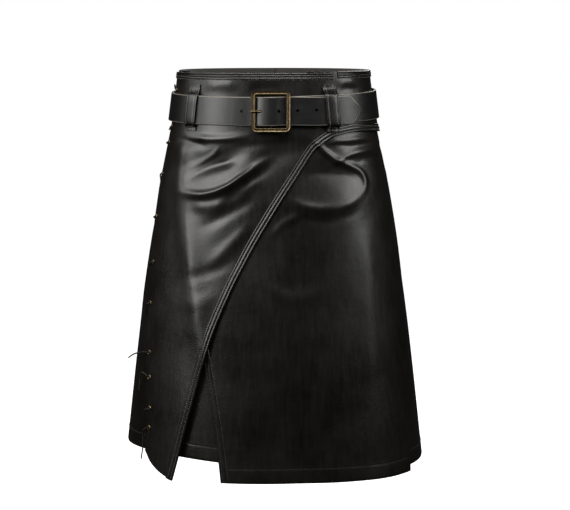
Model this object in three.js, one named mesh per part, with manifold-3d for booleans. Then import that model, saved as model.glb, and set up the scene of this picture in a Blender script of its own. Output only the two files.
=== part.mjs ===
// A leather wrap kilt, worn shape, hollow: a flared skirt of four leather panels on a waistband,
// a diagonal front apron laced down the wearer's right side, and a leather belt with a brass buckle.
// Millimetres, +Z up. The front faces -Y and +X is the wearer's left. The origin is the middle of
// the waist at the height of the belt. Angles are degrees round the waist from the front, + to +X.
import * as THREE from "three";
import { mergeVertices } from "three/addons/utils/BufferGeometryUtils.js";
import Module from "manifold-3d";

const wasm = await Module();
wasm.setup();

// ---- driving sizes -------------------------------------------------------------------------
const LEATHER = 1.5; // garment leather of the panels
const SEAM_GAP = 0.35; // between two pieces that are sewn together
const WAIST_TOP = 54; // top edge of the waistband above the belt's middle
const WAIST_SEAM = -12; // panels meet the waistband here, behind the belt
const HEM_FRONT = -537;
const BAND_WIDTH = 12; // turned and double-stitched edge of the aprons
const TOP_BAND_WIDTH = 10;
const ROUNDNESS = 2.3; // exponent of the waist's superellipse: 2 is an ellipse
const LAYER = { back: 0, under: 2.6, over: 5.1 }; // inner face of each layer, out from the form

// Inner face of the innermost leather: half width, and depth before and behind the axis.
const FORM = [
  { z: 60, side: 138, front: 99, back: 103 },
  { z: 30, side: 141.5, front: 101.5, back: 106.5 },
  { z: 0, side: 145, front: 104.5, back: 110.5 },
  { z: -22, side: 148, front: 107, back: 114 },
  { z: -45, side: 152.5, front: 110, back: 119 },
  { z: -80, side: 160, front: 114.5, back: 127 },
  { z: -120, side: 168.5, front: 120, back: 136.5 },
  { z: -200, side: 183, front: 130, back: 150 },
  { z: -300, side: 198, front: 142, back: 161 },
  { z: -400, side: 210.5, front: 152, back: 169.5 },
  { z: -560, side: 228.5, front: 167, back: 180 },
];

// Edges that run from waist to hem: the laced edge of the over apron, the free edge of the under
// apron, the right-hand side seam, and the hidden front edge of the left back panel.
const EDGES = [
  { z: 60, laced: -79, under: -66, side: 89, wrap: -14 },
  { z: -100, laced: -79, under: -60, side: 87, wrap: -14 },
  { z: -163, laced: -76.5, under: -55, side: 84, wrap: -14 },
  { z: -228, laced: -72.5, under: -49, side: 80.5, wrap: -14 },
  { z: -290, laced: -70, under: -43.5, side: 77, wrap: -14 },
  { z: -360, laced: -66.5, under: -37, side: 73, wrap: -14 },
  { z: -440, laced: -62.5, under: -31, side: 69.5, wrap: -14 },
  { z: -502, laced: -60.8, under: -27.3, side: 67, wrap: -14 },
  { z: -560, laced: -59, under: -24.5, side: 65, wrap: -14 },
];

// The over apron's free edge: along under the belt from the side seam, then down across the front.
const DIAGONAL = [
  { deg: 88, z: -37.5 },
  { deg: 72, z: -34.8 },
  { deg: 57, z: -33.3 },
  { deg: 45.5, z: -37 },
  { deg: 39, z: -42.2 },
  { deg: 32.2, z: -52 },
  { deg: 28, z: -60.2 },
  { deg: 19.5, z: -86.5 },
  { deg: 14.5, z: -102.2 },
  { deg: 6.2, z: -128.5 },
  { deg: -2, z: -157 },
  { deg: -9.5, z: -185.5 },
  { deg: -15.8, z: -214 },
  { deg: -23.8, z: -257.5 },
  { deg: -31.5, z: -316 },
  { deg: -36.2, z: -373 },
  { deg: -40.2, z: -434.5 },
  { deg: -43.8, z: -498.2 },
  { deg: -46, z: -537 },
];

// The over apron's short hem, on the wearer's right.
const APRON_HEM = [
  { deg: -64, z: -498 },
  { deg: -60.8, z: -502 },
  { deg: -57.5, z: -515 },
  { deg: -52.5, z: -527 },
  { deg: -46, z: -537 },
];

// Hem heights round the back panels, which hang a little shorter than the aprons.
const BACK_HEM = [
  { deg: -14, z: -511 },
  { deg: -60, z: -502 },
  { deg: -95, z: -507 },
  { deg: -180, z: -519 },
  { deg: -265, z: -528 },
  { deg: -300, z: -529 },
];

// The largest drapes: a ridge (rise over 0) or trough with its middle at deg and z, turned up from
// level by turn degrees, reach long and width wide each way from its middle, and sagging by bend.
const FOLDS = [
  { deg: -28, z: -97, turn: 24, reach: 68, width: 17, rise: 3.6, bend: 0.0016 },
  { deg: -36, z: -72, turn: 12, reach: 44, width: 15, rise: -3.0, bend: 0.001 },
  { deg: 4, z: -62, turn: 8, reach: 55, width: 16, rise: -2.6, bend: 0 },
  { deg: 40, z: -92, turn: 0, reach: 42, width: 17, rise: -3.4, bend: 0 },
  { deg: 36, z: -142, turn: 8, reach: 58, width: 20, rise: 3.0, bend: 0.0022 },
  { deg: -122, z: -96, turn: -14, reach: 60, width: 20, rise: 3.0, bend: 0.001 },
  { deg: 128, z: -104, turn: 16, reach: 66, width: 22, rise: 3.2, bend: 0.001 },
  { deg: 176, z: -70, turn: 3, reach: 70, width: 20, rise: -3.0, bend: 0 },
];
// Soft upright flutes that the flare gathers into towards the hem.
const FLUTES = [
  { deg: -158, width: 13, rise: 5 },
  { deg: -112, width: 11, rise: 4 },
  { deg: 122, width: 12, rise: 5 },
  { deg: 163, width: 12, rise: 5.5 },
  { deg: 52, width: 11, rise: 3.5 },
  { deg: 14, width: 12, rise: -3 },
];
const FLUTES_FROM = -210;

// Rows of the lacing, each a brass eyelet in the over apron: the lace crosses the edge there into a
// hole in the back panel, drop below the eyelet, and arches up or down by arch on the way.
const LACING = [
  { z: 26, drop: 3, arch: 8 },
  { z: -28, drop: 3, arch: -4 },
  { z: -51, drop: 5, arch: 0 },
  { z: -97.5, drop: 15, arch: 0 },
  { z: -160, drop: 6, arch: 0 },
  { z: -227, drop: 8, arch: 0 },
  { z: -286.5, drop: 20, arch: 0 },
  { z: -358, drop: 3, arch: 0 },
  { z: -394, drop: 3, arch: 0 },
  { z: -439, drop: 6, arch: 0 },
  { z: -467, drop: 3, arch: 0 },
];
const UPPER_ROWS = 8; // one lace holds these rows, and a second the rest
const EYELET = { inset: 7, outer: 3.8, bore: 2.1, rise: 0.9 };
const LACE = { radius: 1.05, reach: 8, hole: 2 };
// The laces' free ends, from the eyelet of a row: past the edge, down and out from the leather.
const FREE_ENDS = {
  upper: [
    { past: 4, down: 1, out: 2.4 },
    { past: 15, down: 3.5, out: 4 },
    { past: 29, down: 8, out: 6 },
    { past: 42, down: 15, out: 7 },
  ],
  middle: [
    { past: 0.5, down: -4, out: 2.6 },
    { past: 6.5, down: -5.6, out: 3 },
    { past: 12.2, down: -3, out: 2.8 },
    { past: 15, down: 3.2, out: 2.6 },
    { past: 15.8, down: 13, out: 2.6 },
    { past: 17, down: 23, out: 3 },
  ],
  bottom: [
    { past: 3.5, down: 5, out: 2.6 },
    { past: 6, down: 14, out: 1.6 },
    { past: 7, down: 30, out: 1.4 },
    { past: 11, down: 50, out: 2 },
  ],
};

const BELT = { width: 41, thick: 3, lift: 7.5, lap: 3.5, root: 53, tipLength: 18.2, hole: 2.2, holePitch: 25.6 };
const BUCKLE = { x: -3.6, z: -3, width: 57.5, height: 58.5, bar: 6.4, thick: 4.4, corner: 7, rod: 1.7 };
const LOOP = { width: 20.5, thick: 2.1, top: 36, foot: -24.5, patch: 6.5 };
// Each loop's angle, how many laps of strap it holds over the first, and what its ends are sewn to.
const LOOPS = [
  { name: "belt_loop_front_right", deg: -57, lap: 0, top: 6.9, foot: 7 },
  { name: "belt_loop_front_left", deg: 41, lap: 1, top: 6.9, foot: 8.8 },
  { name: "belt_loop_back_left", deg: 112, lap: 0, top: 4.4, foot: 1.9 },
  { name: "belt_loop_back_middle", deg: 180, lap: 0, top: 4.4, foot: 1.9 },
  { name: "belt_loop_back_right", deg: 246, lap: 0, top: 1.9, foot: 1.9 },
];

const COLOUR = { hide: 0x17161a, belt: 0x121113, brass: 0x9c7f45, lace: 0x1a1512 };

// ---- small helpers ---------------------------------------------------------------------------
const rad = THREE.MathUtils.degToRad;
const clamp = THREE.MathUtils.clamp;
const lerp = THREE.MathUtils.lerp;
const smooth = (t) => THREE.MathUtils.smoothstep(t, 0, 1);
const range = (n) => Array.from({ length: n }, (_, i) => i);

// A column of a table read at any height or angle, smoothly (a cubic through the rows).
function read(table, key, column, at) {
  const rows = [...table].sort((a, b) => a[key] - b[key]);
  const x = clamp(at, rows[0][key], rows.at(-1)[key]);
  const i = Math.max(1, rows.findIndex((r) => r[key] >= x));
  const slope = (k) => {
    const a = rows[Math.max(0, k - 1)];
    const b = rows[Math.min(rows.length - 1, k + 1)];
    return (b[column] - a[column]) / (b[key] - a[key]);
  };
  const [p, q] = [rows[i - 1], rows[i]];
  const h = q[key] - p[key];
  const t = (x - p[key]) / h;
  return (
    (2 * t ** 3 - 3 * t ** 2 + 1) * p[column] +
    (t ** 3 - 2 * t ** 2 + t) * h * slope(i - 1) +
    (3 * t ** 2 - 2 * t ** 3) * q[column] +
    (t ** 3 - t ** 2) * h * slope(i)
  );
}
const wrapped = (deg) => THREE.MathUtils.euclideanModulo(deg + 180, 360) - 180;

// ---- the kilt's form ---------------------------------------------------------------------------
// How far the leather swells or dips at a place, from the drapes and flutes.
function swell(deg, z) {
  const mmPerDeg = 2.9;
  let out = 0;
  for (const f of FOLDS) {
    const s = wrapped(deg - f.deg) * mmPerDeg;
    const h = z - f.z;
    const [c, n] = [Math.cos(rad(f.turn)), Math.sin(rad(f.turn))];
    const along = s * c + h * n;
    const across = h * c - s * n - f.bend * along ** 2;
    out += f.rise * Math.exp(-((across / f.width) ** 2) - (along / f.reach) ** 2);
  }
  const down = smooth((FLUTES_FROM - z) / (FLUTES_FROM - HEM_FRONT));
  for (const f of FLUTES) out += f.rise * down * Math.exp(-((wrapped(deg - f.deg) / f.width) ** 2));
  return out;
}

// The point of the form at an angle and height, moved out level by out. Below the hips it folds.
function formPoint(deg, z, out, folds = true) {
  const a = rad(deg);
  const [s, c] = [Math.sin(a), Math.cos(a)];
  const side = read(FORM, "z", "side", z);
  const depth = read(FORM, "z", c > 0 ? "front" : "back", z);
  const r = ((Math.abs(c) / depth) ** ROUNDNESS + (Math.abs(s) / side) ** ROUNDNESS) ** (-1 / ROUNDNESS);
  const normal = new THREE.Vector2(
    (Math.sign(s) * Math.abs((r * s) / side) ** (ROUNDNESS - 1)) / side,
    (-Math.sign(c) * Math.abs((r * c) / depth) ** (ROUNDNESS - 1)) / depth,
  ).normalize();
  const e = out + (folds ? swell(deg, z) : 0);
  return new THREE.Vector3(r * s + normal.x * e, -r * c + normal.y * e, z);
}

// Degrees that make a level run of mm at a place.
function degreesFor(mm, deg, z) {
  const step = formPoint(deg + 0.5, z, 0, false).distanceTo(formPoint(deg - 0.5, z, 0, false));
  return mm / step;
}
const edgeDeg = (name, z) => read(EDGES, "z", name, z);

// ---- ways of making a closed solid ---------------------------------------------------------
function geometryFrom(points, faces) {
  const g = new THREE.BufferGeometry().setFromPoints(points);
  g.setIndex(faces);
  return g;
}

// A wall between two sets of columns of points that share their numbering. Neighbouring columns are
// joined by a strip of triangles that steps down whichever column is behind.
function wallBetween(outer, inner, edged = false) {
  const starts = outer.map((_, c) => outer.slice(0, c).reduce((n, col) => n + col.length, 0));
  const total = outer.flat().length;
  const faces = [];
  const both = (a, b, c) => faces.push(a, b, c, total + a, total + c, total + b);
  for (let c = 0; c + 1 < outer.length; c++) {
    const [left, right] = [outer[c], outer[c + 1]];
    const strip = edged && left.edged && right.edged ? 1 : 0;
    const [m, n] = [left.length - 1 - strip, right.length - 1 - strip];
    for (let i = 0, j = 0; i < m || j < n; ) {
      if (j === n || (i < m && left[i + 1].z >= right[j + 1].z - 0.01)) {
        both(starts[c] + i, starts[c] + i + 1, starts[c + 1] + j);
        i++;
      } else {
        both(starts[c] + i, starts[c + 1] + j + 1, starts[c + 1] + j);
        j++;
      }
    }
    if (strip) {
      both(starts[c] + m, starts[c] + m + 1, starts[c + 1] + n + 1);
      both(starts[c] + m, starts[c + 1] + n + 1, starts[c + 1] + n);
    }
  }
  const feet = outer.map((col, c) => starts[c] + col.length - 1);
  const down = range(outer[0].length);
  const up = range(outer.at(-1).length).map((i) => feet.at(-1) - i);
  const rim = [...down, ...feet.slice(1), ...up.slice(1), ...starts.slice(1, -1).reverse()];
  rim.forEach((p, i) => {
    const q = rim[(i + 1) % rim.length];
    faces.push(q, p, total + p, q, total + p, total + q);
  });
  return outward(geometryFrom([...outer.flat(), ...inner.flat()], faces));
}

// A piece of leather hung on the form in columns of {deg, z} places; out(place) is its inner face.
// A column with a turned edge keeps the edge's inner line as its last place but one.
function panel(columns, out, thick = LEATHER) {
  const at = (extra) =>
    columns.map((col) => {
      const points = col.map((p) => formPoint(p.deg, p.z, out(p) + extra));
      points.edged = col.edged;
      return points;
    });
  const outer = at(thick);
  return { geometry: wallBetween(outer, at(0), true), outer };
}

// A solid through sections of the same number of points; profile is the section laid flat.
function loft(sections, profile) {
  const n = sections[0].length;
  const faces = [];
  for (let k = 0; k + 1 < sections.length; k++)
    for (let i = 0; i < n; i++) {
      const [a, b] = [k * n + i, k * n + ((i + 1) % n)];
      faces.push(a, b, b + n, a, b + n, a + n);
    }
  const last = (sections.length - 1) * n;
  const turned = THREE.ShapeUtils.isClockWise(profile);
  for (const [a, p, q] of THREE.ShapeUtils.triangulateShape(profile, [])) {
    const [b, c] = turned ? [q, p] : [p, q];
    faces.push(a, c, b);
    faces.push(last + a, last + b, last + c);
  }
  return outward(geometryFrom(sections.flat(), faces));
}

// The same solid with its faces turned outwards, whichever way its sections ran.
function outward(g) {
  const p = g.getAttribute("position");
  const index = g.getIndex().array;
  const [a, b, c] = [0, 1, 2].map(() => new THREE.Vector3());
  let volume = 0;
  for (let i = 0; i < index.length; i += 3) {
    a.fromBufferAttribute(p, index[i]);
    b.fromBufferAttribute(p, index[i + 1]);
    c.fromBufferAttribute(p, index[i + 2]);
    volume += a.dot(b.cross(c));
  }
  if (volume < 0) for (let i = 0; i < index.length; i += 3) [index[i], index[i + 1]] = [index[i + 1], index[i]];
  return g;
}

function roundProfile(radius, sides) {
  return range(sides).map((i) => {
    const a = (2 * Math.PI * i) / sides;
    return new THREE.Vector2(radius * Math.cos(a), radius * Math.sin(a));
  });
}

// A round bar or cord through points, its sections turned without twist.
function tube(points, radius, sides) {
  const profile = roundProfile(radius, sides);
  const tangents = points.map((p, i) =>
    new THREE.Vector3()
      .subVectors(points[Math.min(i + 1, points.length - 1)], points[Math.max(i - 1, 0)])
      .normalize(),
  );
  let side = new THREE.Vector3(0.31, 0.2, 0.93).cross(tangents[0]).normalize();
  const sections = points.map((p, i) => {
    side = side.addScaledVector(tangents[i], -side.dot(tangents[i])).normalize();
    const up = new THREE.Vector3().crossVectors(tangents[i], side);
    return profile.map((q) => p.clone().addScaledVector(side, q.x).addScaledVector(up, q.y));
  });
  return loft(sections, profile);
}

function solidFrom(geometry) {
  const bare = new THREE.BufferGeometry().setAttribute("position", geometry.getAttribute("position"));
  bare.setIndex(geometry.getIndex());
  const merged = mergeVertices(bare, 1e-3);
  return new wasm.Manifold(
    new wasm.Mesh({
      numProp: 3,
      vertProperties: merged.attributes.position.array,
      triVerts: new Uint32Array(merged.index.array),
    }),
  );
}
function geometryOf(solid) {
  const m = solid.getMesh();
  const g = new THREE.BufferGeometry().setAttribute("position", new THREE.BufferAttribute(m.vertProperties, 3));
  return g.setIndex(new THREE.BufferAttribute(m.triVerts, 1));
}
const cut = (geometry, tools) => geometryOf(tools.reduce((s, t) => s.subtract(solidFrom(t)), solidFrom(geometry)));
const join = (geometries) => geometryOf(geometries.map(solidFrom).reduce((s, t) => s.add(t)));

// ---- places of pieces ------------------------------------------------------------------------
// Levels shared by every panel, closer over the hips where the leather drapes.
const LEVEL_STEP = { hips: 15, skirt: 45, change: -160 };
const LEVELS = [];
for (let z = WAIST_SEAM; z > HEM_FRONT; z -= z > LEVEL_STEP.change ? LEVEL_STEP.hips : LEVEL_STEP.skirt)
  LEVELS.push(z);

// One column of places along deg(z), from the waist seam to its foot.
function column(deg, foot, edge = foot) {
  const heights = LEVELS.filter((z) => z > edge + 4);
  if (edge > foot) heights.push(edge);
  const places = [...heights, foot].map((z) => ({ deg: deg(z), z }));
  places.edged = edge > foot;
  return places;
}

// The over apron's lower outline by angle: its short hem, then the diagonal across the front.
const CORNER = DIAGONAL.at(-1);
function apronOutline(deg) {
  if (deg >= CORNER.deg) return read(DIAGONAL, "deg", "z", deg);
  return read(APRON_HEM, "deg", "z", deg);
}
const diagonalDeg = (z) => read(DIAGONAL.slice(3), "z", "deg", z);

// The over apron stands off the one below it along its lower free edge, and rides over the turned
// edge of the under apron.
const APRON_LIFT = { most: 6.5, from: -190, full: -470, spread: 17 };
const APRON_STEP = { rise: 2.7, middle: 2.2, spread: 5.5, from: -40, full: -65 };
function apronOut(p) {
  const step = (edgeDeg("under", p.z) + APRON_STEP.middle - p.deg) / APRON_STEP.spread;
  const down = smooth((APRON_LIFT.from - p.z) / (APRON_LIFT.from - APRON_LIFT.full));
  const near = Math.exp(-(((diagonalDeg(Math.max(p.z, HEM_FRONT)) - p.deg) / APRON_LIFT.spread) ** 2));
  const below = smooth((APRON_STEP.from - p.z) / (APRON_STEP.from - APRON_STEP.full));
  return LAYER.over + APRON_LIFT.most * down * near + APRON_STEP.rise * below * Math.exp(-(step ** 2));
}

// The over apron hangs in columns that fan a little, and each ends where it meets the outline.
const APRON_COLUMNS = { hem: 3, diagonal: 19, yoke: 7, yokeFrom: 0.655 };
function overApron() {
  const degAt = (u) => (z) => lerp(edgeDeg("laced", z), edgeDeg("side", z), u);
  const footOf = (u) => {
    let [low, high] = [HEM_FRONT - 20, WAIST_SEAM - 8];
    for (let i = 0; i < 40; i++) {
      const z = (low + high) / 2;
      if (apronOutline(degAt(u)(z)) > z) low = z;
      else high = z;
    }
    return high;
  };
  const span = edgeDeg("side", CORNER.z) - edgeDeg("laced", CORNER.z);
  const corner = (CORNER.deg - edgeDeg("laced", CORNER.z)) / span;
  const { hem, diagonal, yoke, yokeFrom } = APRON_COLUMNS;
  const shares = [
    ...range(hem).map((i) => (corner * i) / hem),
    ...range(diagonal).map((i) => lerp(corner, yokeFrom, i / diagonal)),
    ...range(yoke + 1).map((i) => lerp(yokeFrom, 1, i / yoke)),
  ];
  const columns = shares.map((u, c) => {
    if (c < hem) return column(degAt(u), footOf(u));
    const foot = c === hem ? CORNER.z : footOf(u);
    const at = (v, z) => formPoint(degAt(v)(z), z, 0, false);
    const [p, v] = [at(u, foot), u + 0.01];
    const run = at(v, footOf(v)).sub(p);
    const rise = at(u, foot + 1).sub(p);
    return column(degAt(u), foot, foot + BAND_WIDTH / Math.sin(run.angleTo(rise)));
  });
  return panel(columns, apronOut);
}

function underApron() {
  const columns = range(18).map((c) => {
    const deg = (z) => {
      const from = edgeDeg("under", z);
      if (c === 0) return from;
      return lerp(from + degreesFor(BAND_WIDTH, from, z), edgeDeg("side", z), (c - 1) / 16);
    };
    return column(deg, HEM_FRONT);
  });
  return panel(columns, () => LAYER.under);
}

const SIDE_LAP = 7; // how far the left back panel goes in under the front one
function backPanel(from, to, count, closer = 1) {
  const columns = range(count + 1).map((c) => {
    const deg = (z) => lerp(from(z), to(z), (c / count) ** closer);
    const foot = read(BACK_HEM, "deg", "z", deg(-510));
    return column(deg, foot);
  });
  return panel(columns, () => LAYER.back);
}

function waistband(from, to, cols, out, top) {
  const levels = [top, top - TOP_BAND_WIDTH, 18, WAIST_SEAM + SEAM_GAP];
  const columns = range(cols + 1).map((c) => levels.map((z) => ({ deg: lerp(from, to, c / cols), z })));
  return panel(columns, out);
}

// A turned edge: two stitched ridges over a strip of a panel, whose outer points it follows.
const BAND = [
  { across: 0.03, rise: 0 },
  { across: 0.03, rise: 0.7 },
  { across: 0.22, rise: 1.4 },
  { across: 0.42, rise: 0.6 },
  { across: 0.62, rise: 1.4 },
  { across: 0.97, rise: 0.5 },
  { across: 0.97, rise: 0 },
];
function band(edge, inner) {
  const sections = edge.map((e, i) => {
    const run = new THREE.Vector3().subVectors(edge[Math.min(i + 1, edge.length - 1)], edge[Math.max(i - 1, 0)]);
    const across = new THREE.Vector3().subVectors(inner[i], e);
    const normal = new THREE.Vector3().crossVectors(run, across).normalize();
    if (normal.x * e.x + normal.y * e.y < 0) normal.negate();
    return BAND.map((b) => e.clone().addScaledVector(across, b.across).addScaledVector(normal, SEAM_GAP + b.rise));
  });
  return loft(sections, BAND.map((b) => new THREE.Vector2(b.across * BAND_WIDTH, b.rise)));
}

// ---- lacing ------------------------------------------------------------------------------------
const caster = new THREE.Raycaster();
// Where a level line from outside first meets a piece at an angle and height, and its normal there.
function onPiece(geometry, deg, z) {
  const mesh = new THREE.Mesh(geometry);
  const from = formPoint(deg, z, 60, false);
  const to = formPoint(deg, z, 0, false);
  caster.set(from, to.sub(from).normalize());
  const hit = caster.intersectObject(mesh)[0];
  return { point: hit.point, normal: hit.face.normal.clone() };
}
const moved = (seat, out) => seat.point.clone().addScaledVector(seat.normal, out);

function lacingRows(over, back) {
  return LACING.map((row) => {
    const { z, drop, arch } = row;
    const edge = edgeDeg("laced", z);
    const eyeDeg = edge + degreesFor(EYELET.inset, edge, z);
    const eye = onPiece(over(z), eyeDeg, z);
    const deep = onPiece(back(z), eyeDeg, z);
    const hole = onPiece(back(z), edge - degreesFor(LACE.reach, edge, z), z - drop);
    const lip = onPiece(over(z), edge + degreesFor(0.6, edge, z), z - Math.min(drop, 5) / 2 + arch);
    const away = new THREE.Vector3().subVectors(hole.point, lip.point).setZ(0).projectOnPlane(lip.normal).normalize();
    return { ...row, eye, deep, hole, lip, away };
  });
}
const drill = (seat, radius) => tube([moved(seat, 6), moved(seat, -6)], radius, 8);

function eyelet(seat) {
  const [r, R, h] = [EYELET.bore, EYELET.outer, EYELET.rise];
  const profile = [[r, SEAM_GAP], [R, SEAM_GAP], [(r + R) / 2 + 0.4, h + SEAM_GAP], [r, h * 0.8 + SEAM_GAP], [r, SEAM_GAP]];
  const g = new THREE.LatheGeometry(profile.map(([x, y]) => new THREE.Vector2(x, y)), 8);
  g.applyQuaternion(new THREE.Quaternion().setFromUnitVectors(new THREE.Vector3(0, 1, 0), seat.normal));
  g.translate(...seat.point.toArray());
  g.deleteAttribute("normal");
  g.deleteAttribute("uv");
  return outward(mergeVertices(g, 1e-4));
}

// Where the lace goes at a row: inside the eyelet, out of it, over the apron's edge, and in at the hole.
const UNDER_APRON = -(LEATHER + (LAYER.over - LEATHER) / 2);
function crossing({ eye, hole, lip, away }) {
  const r = LACE.radius;
  return [
    moved(eye, UNDER_APRON),
    moved(eye, EYELET.rise + r + 0.6),
    moved(eye, EYELET.rise + r + 1.2).lerp(moved(lip, r + 1), 0.5).setZ(lip.point.z),
    moved(lip, r + 0.7).addScaledVector(away, 2),
    moved(hole, r + 1.2).addScaledVector(away, -1),
    moved(hole, -LEATHER - r - 0.8),
  ];
}
// The upper lace crosses each row, in and out by turns, and stops outside the eyelet of its last row.
function upperLace(rows) {
  const path = rows.slice(0, -1).flatMap((row, i) => (i % 2 === 0 ? crossing(row).reverse() : crossing(row)));
  return [...path, ...crossing(rows.at(-1)).slice(0, 2)];
}
function lowerLace([first, middle, last]) {
  return [
    ...crossing(first).slice(0, 2).reverse(),
    ...crossing(middle),
    moved(last.deep, -LEATHER - LACE.radius - 0.8),
    moved(last.eye, EYELET.rise + LACE.radius + 0.6),
  ];
}
// A free end of a lace, from beside the lace's own end over the apron's edge.
function freeEnd({ eye, lip, away }, name) {
  const start = moved(eye, EYELET.rise + LACE.radius + 0.8);
  const points = FREE_ENDS[name].map(({ past, down, out }) =>
    moved(lip, out).addScaledVector(away, past).setZ(eye.point.z - down),
  );
  const lead = new THREE.Vector3().subVectors(points[0], start).normalize();
  start.addScaledVector(lead, LACE.radius + 0.5);
  const curve = new THREE.CatmullRomCurve3([start, ...points]);
  return tube(curve.getSpacedPoints(Math.round(curve.getLength() / (5 * LACE.radius))), LACE.radius, 8);
}

// ---- belt, buckle and loops ----------------------------------------------------------------------
const beltMiddle = (deg) => 2.9 - 4.6 * Math.cos(rad(deg)) + 1.75 * Math.sin(rad(deg));
// A point of the belt: across runs from -1 at its lower edge to 1 at its upper edge.
function beltPoint(deg, across, out, drop = 0) {
  const z = beltMiddle(deg) + (across * BELT.width) / 2 - drop;
  const half = BELT.width / 2 + 2;
  const [low, high] = [formPoint(deg, -half, out, false), formPoint(deg, half, out, false)];
  return low.lerp(high, (z + half) / (2 * half)).setZ(z);
}
// How far the belt's inner face stands off as it laps over itself and through the buckle.
const BELT_RISE = [
  { x: -75, rise: 0 },
  { x: -46, rise: 0.2 },
  { x: -33, rise: 0.8 },
  { x: -26, rise: 2.2 },
  { x: -16, rise: 5.8 },
  { x: -9, rise: 8.4 },
  { x: -3.6, rise: 8.8 },
  { x: 2, rise: 8.3 },
  { x: 11, rise: 5.4 },
  { x: 19, rise: BELT.lap },
  { x: 26, rise: BELT.lap },
];
const BELT_LAP_DROP = { most: 2.2, from: 368, over: 30 }; // the free end sinks below the strap under it
const lapDrop = (deg) => BELT_LAP_DROP.most * smooth((deg - BELT_LAP_DROP.from) / BELT_LAP_DROP.over);
const beltX = (deg) => formPoint(deg, 0, BELT.lift, false).x;
const FOLD_END = 9.5; // the fixed end is folded back this far right of the buckle's rod

// The strap once round the waist from its fold, then through the buckle to the root of its point.
function beltStops() {
  const start = degreesFor(BUCKLE.x + FOLD_END, 0, 0);
  const round = range(38).map((i) => lerp(start, 325, i / 37));
  const front = BELT_RISE.map((r) => 360 + degreesFor(r.x, 0, 0));
  const lap = range(5).map((i) => 360 + lerp(18, BELT.root, i / 4));
  return [...round, ...front.filter((d) => d > 335), ...lap].map((deg) => {
    const rise = deg > 330 ? read(BELT_RISE, "x", "rise", beltX(deg - 360)) : 0;
    return { deg, out: BELT.lift + rise, drop: lapDrop(deg) };
  });
}
// The skived end of the strap folded round the rod, in the buckle's own frame: x and out.
function beltFold() {
  const [half, bend] = [0.75, BUCKLE.rod + 0.35 + 0.75];
  const turn = range(7).map((i) => {
    const a = rad(90 + 30 * i);
    return { x: bend * Math.cos(a), out: ROD_OUT + bend * Math.sin(a), half };
  });
  const line = [{ x: FOLD_END, out: 5, half }, { x: 5.5, out: 6.6, half }, ...turn, { x: 5, out: 1.8, half: 1 }];
  const frame = buckleFrameMatrix();
  return line.map((p, i) => {
    const [a, b] = [line[Math.max(0, i - 1)], line[Math.min(line.length - 1, i + 1)]];
    const run = new THREE.Vector2(b.x - a.x, b.out - a.out).normalize();
    return RECT.map((q) => {
      const side = p.half * (1 - 2 * q.out);
      const [x, out] = [p.x + run.y * side, p.out - run.x * side];
      return new THREE.Vector3(x, -out, (q.across * BELT.width) / 2).applyMatrix4(frame);
    });
  });
}
const RECT = [
  { across: -1, out: 0 },
  { across: 1, out: 0 },
  { across: 1, out: 1 },
  { across: -1, out: 1 },
];
function beltStrap() {
  const stops = beltStops();
  const section = (deg, width, out, drop) =>
    RECT.map((q) => beltPoint(deg, q.across * width, out + q.out * BELT.thick, drop));
  const last = stops.at(-1);
  const point = [0.5, 0.97].map((t) => {
    const deg = last.deg + degreesFor(BELT.tipLength * t, last.deg - 360, 0);
    return section(deg, 1 - t, last.out, last.drop);
  });
  const sections = [...beltFold(), ...stops.map((s) => section(s.deg, 1, s.out, s.drop)), ...point];
  return loft(sections, RECT.map((q) => new THREE.Vector2(q.across * BELT.width, q.out * BELT.thick)));
}

// The punched holes: the tongue uses the second.
function beltHoles() {
  return range(5).map((i) => {
    const x = BUCKLE.x - 14.5 + (i - 1) * BELT.holePitch;
    const deg = degreesFor(x, degreesFor(x, 0, 0) / 2, 0);
    return tube([beltPoint(deg, 0, 9), beltPoint(deg, 0, 22)], BELT.hole, 10);
  });
}

// The buckle's own frame: x across, y out from the waist, z up, at the middle of its rod.
function buckleFrameMatrix() {
  const seat = formPoint(degreesFor(BUCKLE.x, 0, 0), 0, BELT.lift, false);
  const [low, high] = [-20, 20].map((z) => formPoint(0, z, BELT.lift, false));
  const lean = -Math.atan2(high.y - low.y, high.z - low.z);
  return new THREE.Matrix4().makeTranslation(BUCKLE.x, seat.y, BUCKLE.z).multiply(new THREE.Matrix4().makeRotationX(lean));
}
const ROD_OUT = 5.2; // rod's middle, out from the strap's inner face
const FRAME_OUT = { left: 7.4, right: 9.4 }; // middle of the frame's bars
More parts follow.
